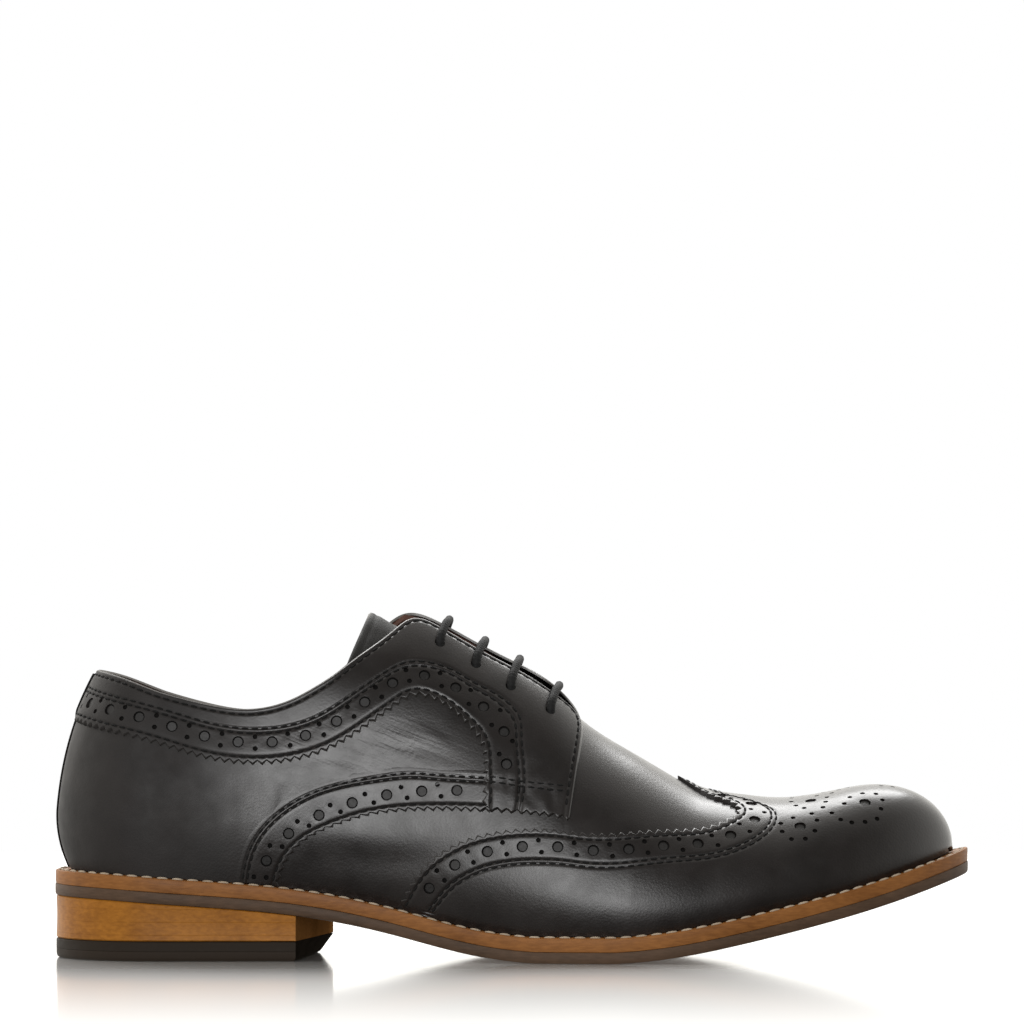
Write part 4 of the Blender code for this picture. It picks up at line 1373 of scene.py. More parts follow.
@dataclass
class Facing(Overlay):
    """Collar and eyelet overlay of one side, with the tab that runs down to the vamp."""

    side: Side = Side.LATERAL
    front_x: float = 172.0
    lift_most: float = 3.6
    lift_from_x: float = 138.0
    lift_from_height: float = 0.55
    top_stitch: float = 1.8
    thick: float = 1.15
    # Station of each eyelet and its distance from the middle.
    eyelet_spots: tuple = ((129.0, 16.0), (141.0, 17.4), (152.6, 19.6), (165.8, 20.8))
    eyelet_radius: float = 1.75
    eyelet_probe: float = 0.004
    seam_rows: tuple = (60.6, 59.0)
    seam_fall: float = 3.2
    hole_line: float = 7.35
    creases: tuple = (
        (163.0, 58.2, 168.6, 50.6, 0.3, 1.5), (152.5, 56.6, 162.5, 52.6, 0.2, 1.3),
        (156.0, 64.6, 171.0, 61.4, 0.2, 1.7), (150.0, 66.0, 160.0, 61.6, 0.12, 1.4),
    )
    tab_x: float = 145.0
    tab_margin: float = 1.5
    tab_samples: int = 40
    tab_probe: float = 0.01
    tab_sunk: float = 0.05
    tab_groove_width: float = 0.5
    hole_start: float = 14.2
    hole_stop: float = 8.0
    end_columns: tuple = (0.6, 0.35, 0.18, 0.07, 0.0)
    middle_rows: int = 30
    far_rows: tuple = (2.6, 2.2, 1.8, 1.4, 1.0, 0.65, 0.4, 0.2, 0.08, 0.0)
    top_round: tuple[float, float] = (0.45, 0.35)
    back_round: tuple[float, float] = (0.35, 1.2)
    pale_top: float = 0.3
    pale_end: tuple[float, float] = (162.0, 170.0)
    under: float = 0.72
    under_fade: tuple[float, float] = (3.0, 11.0)
    back_reach: float = 16.0
    fold_most: float = 0.7
    fold_place: tuple[float, float] = (84.0, 15.0)
    fold_fade: tuple[float, float] = (9.0, 13.0)
    # Station and height of the gimped edge, then of the far edge; None stands for the topline's height.
    edge_rows: tuple = (
        (5.2, 78.7, 5.2, None), (18.6, 75.3, 19.5, None), (33.5, 71.7, 36.0, None), (50.0, 66.8, 53.0, None),
        (66.0, 64.6, 66.0, None), (80.0, 65.6, 76.0, None), (93.0, 69.6, 84.5, None),
        (106.0, 77.5, 94.0, None), (114.4, 83.4, 103.5, None), (120.6, 86.6, 113.0, None),
        (126.9, 85.5, 121.0, None), (132.9, 82.0, 131.0, None), (139.0, 76.3, 144.0, None),
        (142.6, 71.0, 157.0, None),
        (143.5, 66.0, 168.5, None), (143.5, 60.5, 176.3, 75.5), (143.2, 54.8, 174.6, 62.0),
        (143.0, 49.6, 172.0, 46.6),
    )

    def lift(self, x: Array, height: Array) -> Array:
        """Rise of the tab off the vamp towards its front corner."""
        along = ramp(x, self.lift_from_x, self.front_x)
        return self.lift_most * along * ramp(height, self.lift_from_height, 1.0)

    def cover(self, columns: Array, distances: Array) -> Array:
        """Outer face: it lies on the quarter at its gimped edge and on the bare upper further in."""
        on_quarter = self.under * ramp(columns, 0.0, self.back_reach)
        return self.thick + on_quarter * (1 - ramp(distances, *self.under_fade))

    def strip(self) -> Strip:
        """Columns from the gimped edge to the topline, the throat and the front edge."""
        inner = [(x, float(LAST.height_at(x, z))) for x, z, _, _ in self.edge_rows]
        outer = []
        for _, _, x, z in self.edge_rows:
            top = float(LAST.collar_height(min(x, LAST.throat_x), self.side))
            outer.append((x, top if z is None else float(LAST.height_at(x, z))))
        strip = self.strip_between(self.side, inner, outer, self.lift)
        strip.square()
        return strip

    def eyelets(self) -> list[tuple[Array, Array]]:
        """Places and normals of the lace holes, on the outer face."""
        made = []
        for x, offset in self.eyelet_spots:
            height = LAST.height_at_offset(x, self.side, offset)
            grow = self.thick + self.lift(x, height)
            here = LAST.point(x, height, self.side, grow)
            ahead = LAST.point(x + PROBE, height, self.side, grow) - here
            above = LAST.point(x, height + self.eyelet_probe, self.side, grow) - here
            made.append((here, -self.side.value * unit(np.cross(ahead, above))))
        return made

    def build(self, seam: Stitching, floors: HoleFloors) -> None:
        """Makes the overlay with its stitches.

        Args:
            seam: Where its stitches are collected.
            floors: Where the floors of its holes are collected.
        """
        strip = self.strip()
        word = self.side.name.lower()
        near, far = np.array(self.near_rows), np.array(self.far_rows)
        last = strip.count - 1.0
        columns = np.concatenate((np.arange(last), last - np.array(self.end_columns)))[:, None]
        width = np.interp(columns[:, 0], np.arange(strip.count), strip.width)[:, None]
        close = np.broadcast_to(near, (len(columns), len(near)))
        middle = near[-1] + (width - far[0] - near[-1]) * np.linspace(0, 1, self.middle_rows)[None, 1:-1]
        plain = np.concatenate((close, middle, width - far), axis=1)
        distances = self.gimped(columns, plain)
        spacing = np.linalg.norm(strip.point(last, distances) - strip.point(last - 1, distances), axis=-1)
        below = (last - columns) * spacing
        fade = 1 - np.clip(below / self.tooth_fade, 0.0, 1.0)
        moved = columns - self.tooth_depth * zigzag(plain / self.tooth_pitch) * fade / spacing
        outer = strip.point(moved, distances, self.cover(columns, plain))
        inner = strip.point(moved, distances, -self.sunk)
        holes = Holes()
        self.perforate(strip, holes, 0.0, last - self.hole_stop, self.hole_start)
        holes.floors(floors, self.hole_depth)
        for place, normal in self.eyelets():
            holes.add(place, normal, self.eyelet_radius)
        x, z = outer[..., 0], outer[..., 2]
        rest = width - plain
        relief = self.grooves(plain, (self.edge_stitch, *self.double_stitch))
        relief = relief + self.grooves(rest, (self.top_stitch,)) + self.rounding(plain) + self.rounding(below)
        for distance, (drop, reach) in ((rest, self.top_round), (columns, self.back_round)):
            relief = relief - drop * bump(distance, 0.0, reach)
        relief = relief + holes.sink(outer, self.hole_sink, self.sink_reach)
        relief = relief + crease_relief(x, z, self.creases)
        tab = ramp(x, self.tab_x - 1.0, self.tab_x)
        for row in self.seam_rows:
            relief = relief - self.groove * tab * bump(z, self.tab_seam(x, row), self.tab_groove_width)
        cut = np.maximum(self.raw_edge(plain), self.raw_edge(below))
        cut = np.maximum(cut, bump(rest, 0.0, self.pale_top) * (1 - ramp(x, *self.pale_end)))
        folds = self.fold_most * bump(x, *self.fold_place) * (1 - ramp(plain, *self.fold_fade))
        skin = Skin(outer, inner, relief, cut, folds)
        self.make(f"facing_leather_{word}", f"facing_{word}", [skin], holes)
        whole = np.arange(1.0, last - 1.0)
        edge = np.interp(whole, np.arange(strip.count), strip.width) - self.top_stitch
        for distance in (self.edge_stitch, *self.double_stitch, edge):
            self.sew(strip, seam, distance, whole)
        self.sew_tab(seam)

    def tab_seam(self, x: Array, z: float) -> Array:
        """Height at some stations of a row that crosses the tab from a height at its back."""
        return z - self.seam_fall * (x - self.tab_x) / (self.front_x - self.tab_x)

    def sew_tab(self, seam: Stitching) -> None:
        """Sews the two rows that cross the tab in line with the side band."""
        x = np.linspace(self.tab_x, self.front_x - self.tab_margin, self.tab_samples)
        for z in self.seam_rows:
            height = LAST.height_at(x, self.tab_seam(x, z))
            on_quarter = self.under * (1 - ramp(x - self.tab_x, *self.under_fade))
            grow = self.thick + on_quarter - self.tab_sunk + self.lift(x, height)
            line = LAST.point(x, height, self.side, grow)
            across = LAST.point(x, height + self.tab_probe, self.side, grow) - line
            seam.row(line, unit(across), self.stitch_pitch, self.stitch_length, self.stitch_radius)


@dataclass
class SideBand(Overlay):
    """Punched front edge of the quarter, which runs from the welt over the side to the eyelet tab."""

    side: Side = Side.LATERAL
    thick: float = 1.02
    taper: float = 6.0
    hole_start: float = 8.2
    hole_line: float = 7.0
    hole_pitch: float = 11.75
    hole_stop: float = 9.0
    near_count: int = 11
    middle_rows: int = 12
    middle_end: float = 2.5
    seam_offsets: tuple = (-2.1, -1.8, -1.6, -1.4, -1.1, -0.8, -0.5, -0.2, 0.0, 0.3, 0.7, 1.2, 2.0)
    seam_gap: float = 1.6
    tail_from: float = 1.0
    tail_drop: float = 0.45
    # Station and height of the gimped edge, then of the seam.
    rows: tuple = (
        (75.8, 25.0, 63.5, 26.0), (78.8, 33.4, 65.0, 33.8), (84.8, 40.0, 69.4, 42.6),
        (93.8, 44.4, 79.0, 51.3), (106.0, 48.2, 93.5, 57.8), (119.0, 49.6, 111.4, 61.2),
        (131.5, 49.8, 128.2, 61.4), (145.5, 49.4, 145.5, 60.3),
    )

    def strip(self) -> Strip:
        """Columns from the gimped edge past the two rows of stitches, to where the leather runs out flat."""
        inner, outer = [], []
        for x, z, far_x, far_z in self.rows:
            reach = 1 + self.taper / math.hypot(far_x - x, far_z - z)
            far_x, far_z = x + (far_x - x) * reach, z + (far_z - z) * reach
            inner.append((x, max(0.0, float(LAST.height_at(x, z)))))
            outer.append((far_x, float(LAST.height_at(far_x, far_z))))
        return self.strip_between(self.side, inner, outer)

    def build(self, seam: Stitching, floors: HoleFloors) -> None:
        """Makes the band with its stitches.

        Args:
            seam: Where its stitches are collected.
            floors: Where the floors of its holes are collected.
        """
        strip = self.strip()
        word = self.side.name.lower()
        columns = np.arange(strip.count, dtype=float)[:, None]
        seam_at = strip.width[:, None] - self.taper
        near = np.array(self.near_rows[:self.near_count])
        share = np.linspace(0, 1, self.middle_rows)[None, 1:]
        middle = near[-1] + (seam_at - self.middle_end - near[-1]) * share
        rows = seam_at + np.array(self.seam_offsets)
        tail = seam_at + self.seam_offsets[-1] + (self.taper - self.seam_offsets[-1]) * share
        close = np.broadcast_to(near, (len(columns), len(near)))
        plain = np.concatenate((close, middle, rows, tail), axis=1)
        distances = self.gimped(columns, plain)
        falling = self.tail_drop * ramp(plain - seam_at, self.tail_from, self.taper)
        outer = strip.point(columns, distances, self.thick - falling)
        inner = strip.point(columns, distances, -self.sunk)
        holes = Holes()
        self.perforate(strip, holes, 0.0, strip.count - self.hole_stop, self.hole_start)
        holes.floors(floors, self.hole_depth)
        doubles = (seam_at - self.seam_gap, seam_at)
        relief = self.grooves(plain, (self.edge_stitch, *doubles)) + self.rounding(plain)
        relief = relief + holes.sink(outer, self.hole_sink, self.sink_reach)
        skin = Skin(outer, inner, relief, self.raw_edge(plain))
        self.make(f"side_band_leather_{word}", f"side_band_{word}", [skin], holes)
        whole = np.arange(1.0, strip.count - 1.0)
        self.sew(strip, seam, self.edge_stitch, whole)
        for distance in doubles:
            self.sew(strip, seam, distance[1:-1, 0], whole)


@dataclass
class WingCap(Overlay):
    """Toe cap whose wings sweep back along both sides, with a punched ornament on the toe."""

    hole_pitch: float = 11.8
    hole_start: float = 3.1
    hole_stop: float = 4.0
    hole_width: float = 14.0
    full_width: float = 15.0
    rest_rows: int = 41
    relief_from: tuple[float, float] = (1.0, 6.0)
    stitch_room: float = 0.7
    angle_probe: float = 0.03
    tip_feet: int = 3
    edge: tuple = (
        (115.0, 0.0), (117.5, 0.06), (121.9, 0.14), (129.6, 0.23), (138.0, 0.30), (148.4, 0.363),
        (161.0, 0.42), (176.5, 0.48), (190.6, 0.552), (204.7, 0.642), (216.2, 0.725), (223.8, 0.807),
        (227.8, 0.885), (226.4, 0.93), (219.8, 0.965), (208.6, 1.0),
    )
    feet: tuple = (
        (116.5, 0.0), (121.5, 0.0), (136.0, 0.0), (146.0, 0.0), (152.0, 0.0), (158.0, 0.0), (167.0, 0.0),
        (181.0, 0.0), (195.5, 0.0), (212.0, 0.0), (231.0, 0.0), (253.0, 0.0), (276.0, 0.0), (292.0, 0.0),
        (299.6, 0.45), (299.6, math.pi / 2),
    )
    turn_length: float = 15.0
    peak_length: float = 24.0
    bend_stretch: tuple = (0.15, 226.0, 9.0)
    ornament_large: tuple = ((252.6, 13.6), (248.6, 28.2), (270.2, 19.2))
    ornament_small: tuple = (
        (246.6, 5.0), (246.2, 12.2), (247.6, 16.8), (250.2, 19.4), (254.8, 7.8), (258.0, 12.8), (257.4, 16.9),
        (256.4, 20.4), (259.8, 7.8), (262.2, 3.0), (246.4, 24.6), (242.2, 27.2), (242.6, 30.2), (245.6, 32.2),
        (250.2, 31.8), (253.4, 29.6), (254.2, 26.2), (252.6, 23.2), (265.4, 16.0), (269.6, 14.0),
        (274.0, 14.4), (276.0, 17.2), (275.4, 20.6), (274.0, 23.6), (270.0, 25.4), (265.6, 26.4),
        (262.0, 26.0), (259.2, 23.6), (263.4, 19.6), (276.1, 5.4), (279.9, 5.0),
    )
    ornament_middle: tuple = (250.2, 257.2, 265.2)
    middle_offset: float = 0.02
    height_probe: float = 0.02

    def strip(self, side: Side) -> Strip:
        """Columns from the wing's gimped edge to the feather line and the tip of the toe."""
        x, height = np.array(self.edge).T
        length = run_length(LAST.point(x, height, side))[-1]
        start, rows = smooth_line(side, self.edge, self.column_count(length))
        numbered = [(i, *foot) for i, foot in enumerate(self.feet)]
        end = np.stack((np.minimum(Spline(numbered, 1)(rows), LAST.upper_tip),
                        np.clip(Spline(numbered, 2)(rows), 0.0, math.pi / 2)), axis=1)
        end[rows < len(self.feet) - self.tip_feet, 1] = 0.0
        low = np.clip(start[:, 1] - self.angle_probe, 0, None)
        high = np.clip(start[:, 1] + self.angle_probe, None, math.pi / 2)
        reach = LAST.point(start[:, 0], np.sin(high), side) - LAST.point(start[:, 0], np.sin(low), side)
        scale = np.linalg.norm(reach, axis=1) / (high - low)
        sizes = np.stack((np.ones_like(scale), scale), axis=1)
        step = np.gradient(start, axis=0) * sizes
        inwards = unit(np.stack((step[:, 1], -step[:, 0]), axis=1))
        from_peak = np.linspace(length, 0, len(start))
        ahead = 1 - ramp(from_peak, 0.0, self.peak_length)
        inwards = unit(inwards * (1 - ahead)[:, None] + np.array([1.0, 0.0]) * ahead[:, None])
        span = np.linalg.norm((end - start) * sizes, axis=1)
        turn = np.minimum(self.turn_length, 0.5 * span)[:, None]
        bend = start + inwards * turn / sizes
        bend[-1, 1] = math.pi / 2
        strip = Strip(side, start, bend, end)
        most, place, reach = self.bend_stretch
        strip.stretch = 1 + most * bump(start[:, 0], place, reach)
        return strip

    def ornament(self, side: Side, holes: Holes) -> None:
        """Punches the toe's ornament on one side, and its middle row with the lateral side."""
        spots = [(x, offset, self.hole_radius) for x, offset in self.ornament_large]
        spots += [(x, offset, self.pin_radius) for x, offset in self.ornament_small]
        if side is Side.LATERAL:
            spots += [(x, self.middle_offset, self.pin_radius) for x in self.ornament_middle]
        for x, offset, radius in spots:
            height = LAST.height_at_offset(x, side, offset)
            here, front, back = (
                LAST.point(x + step, height, side, self.thick) for step in (0.0, PROBE, -PROBE))
            lower = LAST.point(x, height - self.height_probe, side, self.thick)
            holes.add(here, side.value * unit(np.cross(front - back, lower - here)), radius)

    def build(self, seam: Stitching, floors: HoleFloors) -> None:
        """Makes the cap with its stitches.

        Args:
            seam: Where its stitches are collected.
            floors: Where the floors of its holes are collected.
        """
        near = np.array(self.near_rows)
        holes = Holes()
        strips = {side: self.strip(side) for side in SIDES}
        for side, strip in strips.items():
            first = np.argmax(strip.width > self.hole_width)
            self.perforate(strip, holes, first, strip.count - self.hole_stop, self.hole_start)
            self.ornament(side, holes)
        holes.floors(floors, self.hole_depth)
        skins = []
        stitched = (self.edge_stitch, *self.double_stitch)
        for strip in strips.values():
            columns = np.arange(strip.count, dtype=float)[:, None]
            width = strip.width[:, None]
            close = near[None, :] * np.minimum(1.0, width / self.full_width)
            share = np.linspace(0, 1, self.rest_rows)[None, 1:]
            plain = np.concatenate((close, close[:, -1:] + (width - close[:, -1:]) * share), axis=1)
            distances = np.minimum(self.gimped(columns, plain), width)
            outer = strip.point(columns, distances, self.thick)
            inner = strip.point(columns, distances, -self.sunk)
            relief = (self.grooves(plain, stitched) + self.rounding(plain)) * ramp(width, *self.relief_from)
            relief = relief + holes.sink(outer, self.hole_sink, self.sink_reach)
            skins.append(Skin(outer, inner, relief, self.raw_edge(plain)))
            for distance in stitched:
                first = np.argmax(strip.width > distance + self.stitch_room)
                self.sew(strip, seam, distance, np.arange(first, strip.count - 1.0))
        self.make("wing_cap_leather", "wing_cap", skins, holes)


@dataclass
class Upper:
    """Vamp and quarters as one wall, with its lining inside, a back seam and the creases of the leather."""

    wall: float = 1.8
    rows: int = 56
    top_drop: float = 0.005
    creases: tuple = (
        (89.0, 70.0, 117.0, 64.6, 0.16, 1.3), (97.0, 73.5, 128.0, 69.5, 0.14, 1.4),
        (104.0, 77.5, 126.0, 76.0, 0.12, 1.3), (84.0, 64.5, 108.0, 62.0, 0.13, 1.5),
        (72.0, 62.0, 90.0, 63.5, 0.1, 1.6), (112.0, 71.0, 138.0, 66.5, 0.12, 1.5),
        (118.0, 81.0, 136.0, 74.0, 0.12, 1.3), (76.0, 59.0, 76.8, 47.0, 0.14, 1.6),
        (60.0, 58.0, 66.0, 40.0, 0.1, 2.2), (144.0, 34.0, 80.0, 33.0, 0.42, 5.4),
    )
    station_counts: tuple[int, int, int, int] = (44, 122, 62, 46)
    throat_step: float = 0.8
    quarter_thick: float = 0.95
    quarter_seam_ends: tuple = ((-0.5, -12.0), (30.0, 0.0))
    quarter_edge_end: tuple[float, float] = (-20.0, 3.0)
    quarter_end: tuple[float, float] = (146.0, 160.0)
    quarter_ramp: tuple[float, float] = (-3.4, 0.6)
    quarter_fade: tuple[float, float] = (1.5, 9.0)
    back_share: float = 0.3
    back_rise: tuple[float, float] = (5.0, 26.0)
    creased_area: tuple = (107.0, 71.5, 27.0, 9.5)
    eyelet_back: float = 2.0
    eyelet_cutter: float = 6.0
    lining_normal: float = 0.2
    lining_down: float = 0.1
    seam_range: tuple[float, float] = (0.005, 0.012)
    seam_out: float = 0.25
    seam_step: tuple[float, float, float] = (0.85, 0.52, 0.56)
    seam_radius: float = 0.72
    seam_samples: int = 60

    def quarter(self, x: Array, z: Array, band: SideBand, facing: Facing) -> Array:
        """Rise of the quarter, which overlaps the vamp along the side band and ends under the facing.

        Args:
            x: Stations in the side view.
            z: Heights in the side view.
            band: Band along the quarter's front edge.
            facing: Overlay that covers the quarter's top edge.

        Returns:
            Rise of the leather.
        """
        seam = [(far_x, far_z) for _, _, far_x, far_z in band.rows]
        edge = [(near_x, near_z) for near_x, near_z, _, _ in facing.edge_rows]
        ends = zip((seam[0], seam[-1], edge[0]), (*self.quarter_seam_ends, self.quarter_edge_end))
        low, high, back = ((end_x + step_x, end_z + step_z) for (end_x, end_z), (step_x, step_z) in ends)
        seam, edge = [low, *seam, high], [back, *edge]
        rise = ramp(beside_line(x, z, seam), *self.quarter_ramp) * (1 - ramp(x, *self.quarter_end))
        rise = rise * (self.back_share + (1 - self.back_share) * ramp(x, *self.back_rise))
        return self.quarter_thick * rise * (1 - ramp(beside_line(x, z, edge), *self.quarter_fade))

    def stations(self) -> Array:
        """Stations from the back seam to the tip of the toe."""
        in_heel, in_waist, in_vamp, in_toe = self.station_counts
        quarter_turn = math.pi / 2
        heel = LAST.heel_x - (LAST.heel_x - LAST.seam_x) * np.cos(np.linspace(0, quarter_turn, in_heel))[:-1]
        waist = np.linspace(LAST.heel_x, LAST.throat_x, in_waist)
        vamp = np.linspace(LAST.throat_x + self.throat_step, LAST.front_x, in_vamp)[:-1]
        toe = LAST.front_x + (LAST.upper_tip - LAST.front_x) * np.sin(np.linspace(0, quarter_turn, in_toe))
        return np.concatenate((heel, waist, vamp, toe))

    def build(self, facings: Sequence[Facing], band: SideBand) -> None:
        """Makes the wall and its holes for the laces.

        Args:
            facings: Facings whose eyelets go through the wall.
            band: Band along the quarter's front edge.
        """
        x = self.stations()[:, None]
        x0, z0, reach_x, reach_z = self.creased_area
        skins = []
        for side in SIDES:
            drop = np.where(x > LAST.throat_x, 0, self.top_drop)
            top = np.arcsin(np.clip(LAST.collar_height(x, side) - drop, 0, 1))
            height = np.sin(top * np.linspace(0, 1, self.rows)[None, :])
            bare = LAST.point(x, height, side)
            outer = LAST.point(x, height, side, self.quarter(bare[..., 0], bare[..., 2], band, facings[0]))
            inner = LAST.point(x, height, side, -self.wall)
            creased = bump(outer[..., 0], x0, reach_x) * bump(outer[..., 2], z0, reach_z)
            relief = crease_relief(outer[..., 0], outer[..., 2], self.creases)
            skins.append(Skin(outer, inner, relief, None, creased))
        piece = add_piece(finish_mesh("upper_leather", solid_bmesh(skins)), CALF, "black_leather", "upper")
        holes = Holes()
        for facing in facings:
            for place, normal in facing.eyelets():
                holes.add(place - self.eyelet_back * normal, normal, facing.eyelet_radius)
        punch(piece, holes.cutter(self.eyelet_cutter))
        self.line(piece)
        self.back_seam()

    def line(self, piece: bpy.types.Object) -> None:
        """Gives the faces inside the wall the finish of the lining."""
        piece.data.materials.append(LINING.material())
        lining = len(piece.data.materials) - 1
        for face in piece.data.polygons:
            x, y, _ = face.center
            along = x / MM + LAST.length / 2
            ahead = (along - LAST.heel_x) * MM
            if ahead > 0:
                inwards = face.normal.y if y < 0 else -face.normal.y
            else:
                inwards = -(face.normal.y * y + face.normal.x * ahead) / math.hypot(y, ahead)
            roof = along > LAST.throat_x and face.normal.z < -self.lining_down
            if inwards > self.lining_normal or (roof and inwards > -self.lining_normal):
                face.material_index = lining

    def back_seam(self) -> None:
        """Narrow piped seam up the back of the heel, in a near-black dull finish that is painted shade along
        the seam.
        """
        top = float(LAST.collar_height(LAST.seam_x, Side.LATERAL))
        bottom, short = self.seam_range
        height = np.linspace(bottom, top - short, self.seam_samples)
        line = LAST.point(LAST.seam_x, height, Side.LATERAL, self.seam_out)
        back, low, high = self.seam_step
        line[:, 0] -= back * ramp(height, low, high)
        # Painted shade: the piping gets the near-black, dull finish so that it stays dark.
        add_piece(finish_mesh("back_seam", tube_bmesh(line, self.seam_radius)), SHADE_BLACK, "black_leather")


def tube_bmesh(line: Array, radius: float, sides: int = 14,
               weave: Optional[Callable[[Array, Array], Array]] = None) -> bmesh.types.BMesh:
    """Closed round cord along a line of points.

    Args:
        line: Points that the cord follows.
        radius: Half of its thickness.
        sides: Faces round it.
        weave: Relief for an angle and a distance along the cord.

    Returns:
        The cord.
    """
    ahead = unit(np.gradient(line, axis=0))
    side = unit(np.cross(ahead[0], np.array(CORD_ASLANT)))
    sides_at = []
    for direction in ahead:
        side = unit(side - direction * np.dot(side, direction))
        sides_at.append(side)
    first = np.array(sides_at)
    second = np.cross(ahead, first)
    angle = np.linspace(0, 2 * math.pi, sides, endpoint=False)[None, :]
    run = run_length(line)[:, None]
    reach = (radius + (weave(angle, run) if weave else 0.0) * np.ones_like(run))[..., None]
    ring = first[:, None] * np.cos(angle)[..., None] + second[:, None] * np.sin(angle)[..., None]
    return ring_bmesh(line[:, None] + ring * reach)


@dataclass
class Tongue:
    """Tongue under the eyelet tabs, from inside the vamp to above the collar."""

    gap: float = 0.9
    thick: float = 2.2
    front_x: float = 182.0
    top_x: float = 105.0
    corner_x: float = 96.0
    half: float = 21.0
    dip: float = 4.4
    dip_from: tuple[float, float] = (105.0, 116.0)
    dip_to: tuple[float, float] = (126.0, 165.0)
    points: tuple[int, int] = (57, 90)
    crowding: float = 1.25
    end_round: tuple[float, float] = (0.7, 0.5)
    end_seam: tuple[float, float, float] = (0.25, 3.0, 0.5)
    pale_reach: float = 0.8
    pale_fade: tuple[float, float] = (0.08, 0.4)

    def build(self, wall: float) -> None:
        """Makes the tongue.

        Args:
            wall: Thickness of the upper's wall, which the tongue lies under.
        """
        beside, ahead = self.points
        across = np.sin(np.linspace(-1, 1, beside) * math.pi / 2)
        along = 1 - (1 - np.linspace(0, 1, ahead)) ** self.crowding
        grids = []
        for grow in (-wall - self.gap, -wall - self.gap - self.thick):
            lines = []
            for place in across:
                side = Side.LATERAL if place < 0 else Side.MEDIAL
                end = self.top_x + (self.corner_x - self.top_x) * place ** 2
                x = self.front_x + (end - self.front_x) * along
                height = LAST.height_at_offset(x, side, self.half * abs(place), grow)
                line = LAST.point(x, height, side, grow)
                line[:, 2] -= self.dip * ramp(x, *self.dip_from) * (1 - ramp(x, *self.dip_to))
                lines.append(line)
            grids.append(np.stack(lines))
        run = run_length(grids[0])
        to_end = np.broadcast_to(run[:, -1:] - run, grids[0].shape[:2])
        (drop, drop_reach), (groove, groove_at, groove_reach) = self.end_round, self.end_seam
        relief = -drop * bump(to_end, 0.0, drop_reach) - groove * bump(to_end, groove_at, groove_reach)
        # Pale top end, palest in the middle at the ridge: a raw edge with a painted highlight on it.
        pale = bump(to_end, 0.0, self.pale_reach) * (1 - ramp(np.abs(across), *self.pale_fade))[:, None]
        solid = solid_bmesh([Skin(grids[0], grids[1], relief, pale)])
        add_piece(finish_mesh("tongue_leather", solid), TONGUE_CALF, "black_leather", "tongue")


@dataclass
class Laces:
    """Straight bars of round lace, each through an eyelet on both sides."""

    radius: float = 1.4
    slant: float = 3.0
    clear: float = 0.1
    middle_drop: float = 1.3
    inside: float = -4.4
    plait: float = 0.07
    plait_pitch: float = 1.15
    strands: int = 4
    sides: int = 24
    samples: int = 260

    def weave(self, angle: Array, run: Array) -> Array:
        """Relief of the plaited cover."""
        turn = run / self.plait_pitch * math.pi
        return self.plait * np.sin(self.strands * angle + turn) * np.sin(self.strands * angle - turn)

    def path(self, facing: Facing, eyelet_x: float, offset: float) -> Array:
        """Line of one bar, from inside one facing over the throat to inside the other.

        Args:
            facing: Facing whose thickness and lift the bar clears.
            eyelet_x: Station of the eyelets.
            offset: Distance of the eyelets from the middle.

        Returns:
            Points along the bar.
        """
        over = facing.thick + self.radius + self.clear
        dipped = over - self.middle_drop
        keys = [(1.0, self.inside), (1.0, -1.6), (0.99, 0.9), (0.93, over - 0.25), (0.82, over),
                (0.6, over - 0.1), (0.3, dipped)]
        keys = [(-share, grow) for share, grow in keys] + [(0.0, dipped - 0.2)] + list(reversed(keys))
        points = []
        for share, grow in keys:
            side = Side.LATERAL if share < 0 else Side.MEDIAL
            low, high, here = (
                LAST.height_at_offset(eyelet_x, side, offset * part) for part in (1.0, 0.0, abs(share)))
            x = eyelet_x + self.slant * (here - low) / (high - low)
            height = LAST.height_at_offset(x, side, offset * abs(share))
            points.append(LAST.point(x, height, side, grow + facing.lift(x, height)))
        rough = np.array(points)
        run = run_length(rough)
        fine = np.linspace(0, run[-1], self.samples)
        return np.stack([Spline(np.stack((run, rough[:, k]), axis=1))(fine) for k in range(3)], axis=1)

    def build(self, facing: Facing) -> None:
        """Makes all bars."""
        for number, (x, offset) in enumerate(facing.eyelet_spots, start=1):
            cord = tube_bmesh(self.path(facing, x, offset), self.radius, self.sides, self.weave)
            mesh = finish_mesh(f"lace_{number}", cord, CORD_ANGLE)
            add_piece(mesh, COTTON, "lace", f"lace_bar_{number}")


@dataclass
class Softbox:
    """Large area light that points at the shoe."""

    name: str
    place: tuple
    size: tuple
    power: float
    aim: tuple = (0.0, 0.0, 0.05)

    def build(self) -> None:
        """Adds the light."""
        data = bpy.data.lights.new(self.name, "AREA")
        data.shape = "RECTANGLE"
        data.size, data.size_y = self.size
        data.energy = self.power
        light = bpy.data.objects.new(self.name, data)
        light.location = self.place
        towards = Vector(self.aim) - Vector(self.place)
        light.rotation_mode = "QUATERNION"
        light.rotation_quaternion = towards.to_track_quat("-Z", "Y")
        light.visible_camera = False
        bpy.context.scene.collection.objects.link(light)


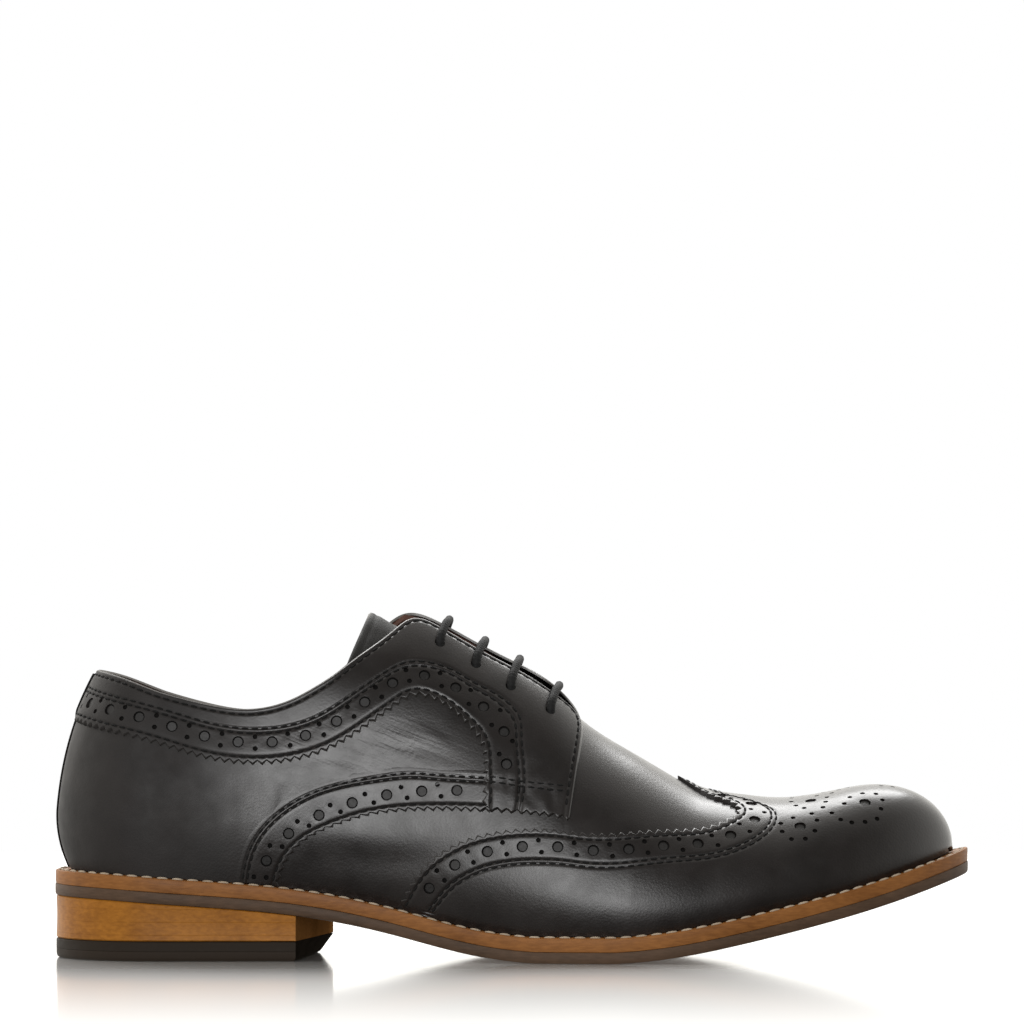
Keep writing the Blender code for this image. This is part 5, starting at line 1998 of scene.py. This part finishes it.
@dataclass
class Studio:
    """Camera, pale floor and soft light."""

    camera_place: tuple = (0.0, -2.86, 0.149)
    lens: float = 300.0
    sensor: float = 36.0
    floor_size: float = 0.9
    floor_sides: int = 96
    room_span: tuple[float, float] = (-0.6, 0.9)
    below_span: tuple[float, float] = (-0.3, 0.0)
    heel_span: tuple[float, float] = (-0.6, -0.2)
    toe_span: tuple[float, float] = (0.7, 1.0)
    room: tuple[float, float] = (0.14, 1.5)
    room_tint: tuple = (1.0, 0.98, 0.93, 1.0)
    below: float = 0.4
    heel_glow: tuple[float, float] = (0.42, 0.0)
    toe_glow: tuple[float, float] = (0.0, 0.35)
    lights: tuple = (
        Softbox("key", (-0.26, -1.95, 0.43), (1.2, 0.95), 15.8),
        Softbox("core", (-0.24, -1.93, 0.37), (0.4, 0.3), 1.9),
        Softbox("back", (-0.12, 1.25, 1.6), (2.0, 0.9), 36.0),
    )

    def camera(self) -> None:
        """Level camera far off to the lateral side."""
        data = bpy.data.cameras.new("camera")
        data.lens, data.sensor_width = self.lens, self.sensor
        camera = bpy.data.objects.new("camera", data)
        camera.location = self.camera_place
        camera.rotation_euler = (math.pi / 2, 0.0, 0.0)
        bpy.context.scene.collection.objects.link(camera)
        bpy.context.scene.camera = camera

    def floor(self) -> None:
        """Round pale board under the shoe."""
        bm = bmesh.new()
        bmesh.ops.create_circle(bm, cap_ends=True, segments=self.floor_sides, radius=self.floor_size)
        mesh = finish_mesh("floor", bm)
        board = bpy.data.objects.new("floor", mesh)
        mesh.materials.append(FLOOR.material())
        bpy.context.scene.collection.objects.link(board)
        board.visible_glossy = False
        board.visible_diffuse = False

    def sky(self) -> None:
        """White backdrop for the camera, and a room that is pale behind the shoe and dim in front of it."""
        world = bpy.data.worlds.new("studio")
        bpy.context.scene.world = world
        world.use_nodes = True
        nodes = Nodes(world.node_tree)
        nodes.tree.nodes.clear()
        place = nodes.node("TexCoord", {}, "Generated")
        along, across, up = (nodes.node("SeparateXYZ", {"Vector": place}, axis) for axis in "XYZ")
        ends = nodes.math("ADD", nodes.span(along, *self.heel_span, *self.heel_glow),
                          nodes.span(along, *self.toe_span, *self.toe_glow))
        glow = nodes.math("ADD", nodes.span(across, *self.room_span, *self.room), ends)
        glow = nodes.math("MULTIPLY", glow, nodes.span(up, *self.below_span, self.below, 1.0))
        room = nodes.node("Background", {"Color": self.room_tint, "Strength": glow})
        seen = nodes.node("Background", {"Color": (1.0, 1.0, 1.0, 1.0)})
        both = nodes.node("MixShader", {0: nodes.node("LightPath", {}, "Is Camera Ray"), 1: room, 2: seen})
        nodes.tree.links.new(both, nodes.tree.nodes.new("ShaderNodeOutputWorld").inputs["Surface"])

    def build(self) -> None:
        """Sets up the whole studio."""
        self.camera()
        self.floor()
        self.sky()
        for light in self.lights:
            light.build()
        bpy.context.scene.view_settings.view_transform = "Standard"


def main() -> None:
    """Builds the shoe piece by piece, then the studio."""
    logging.basicConfig(level=logging.INFO, format="%(name)s: %(message)s")
    Studio().build()
    SoleUnit().build()
    facings = {side: Facing(side=side) for side in SIDES}
    upper = Upper()
    upper.build(list(facings.values()), SideBand())
    seam = Stitching("upper_stitches", BLACK_THREAD, "black_leather", stitch_shape)
    floors = HoleFloors()
    WingCap().build(seam, floors)
    for side in SIDES:
        facings[side].build(seam, floors)
        SideBand(side=side).build(seam, floors)
    seam.build()
    floors.build()
    Tongue().build(upper.wall)
    Laces().build(facings[Side.LATERAL])
    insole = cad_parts["insole"]
    insole.data.materials.clear()
    insole.data.materials.append(LINING.material())


if __name__ == "__main__":
    main()
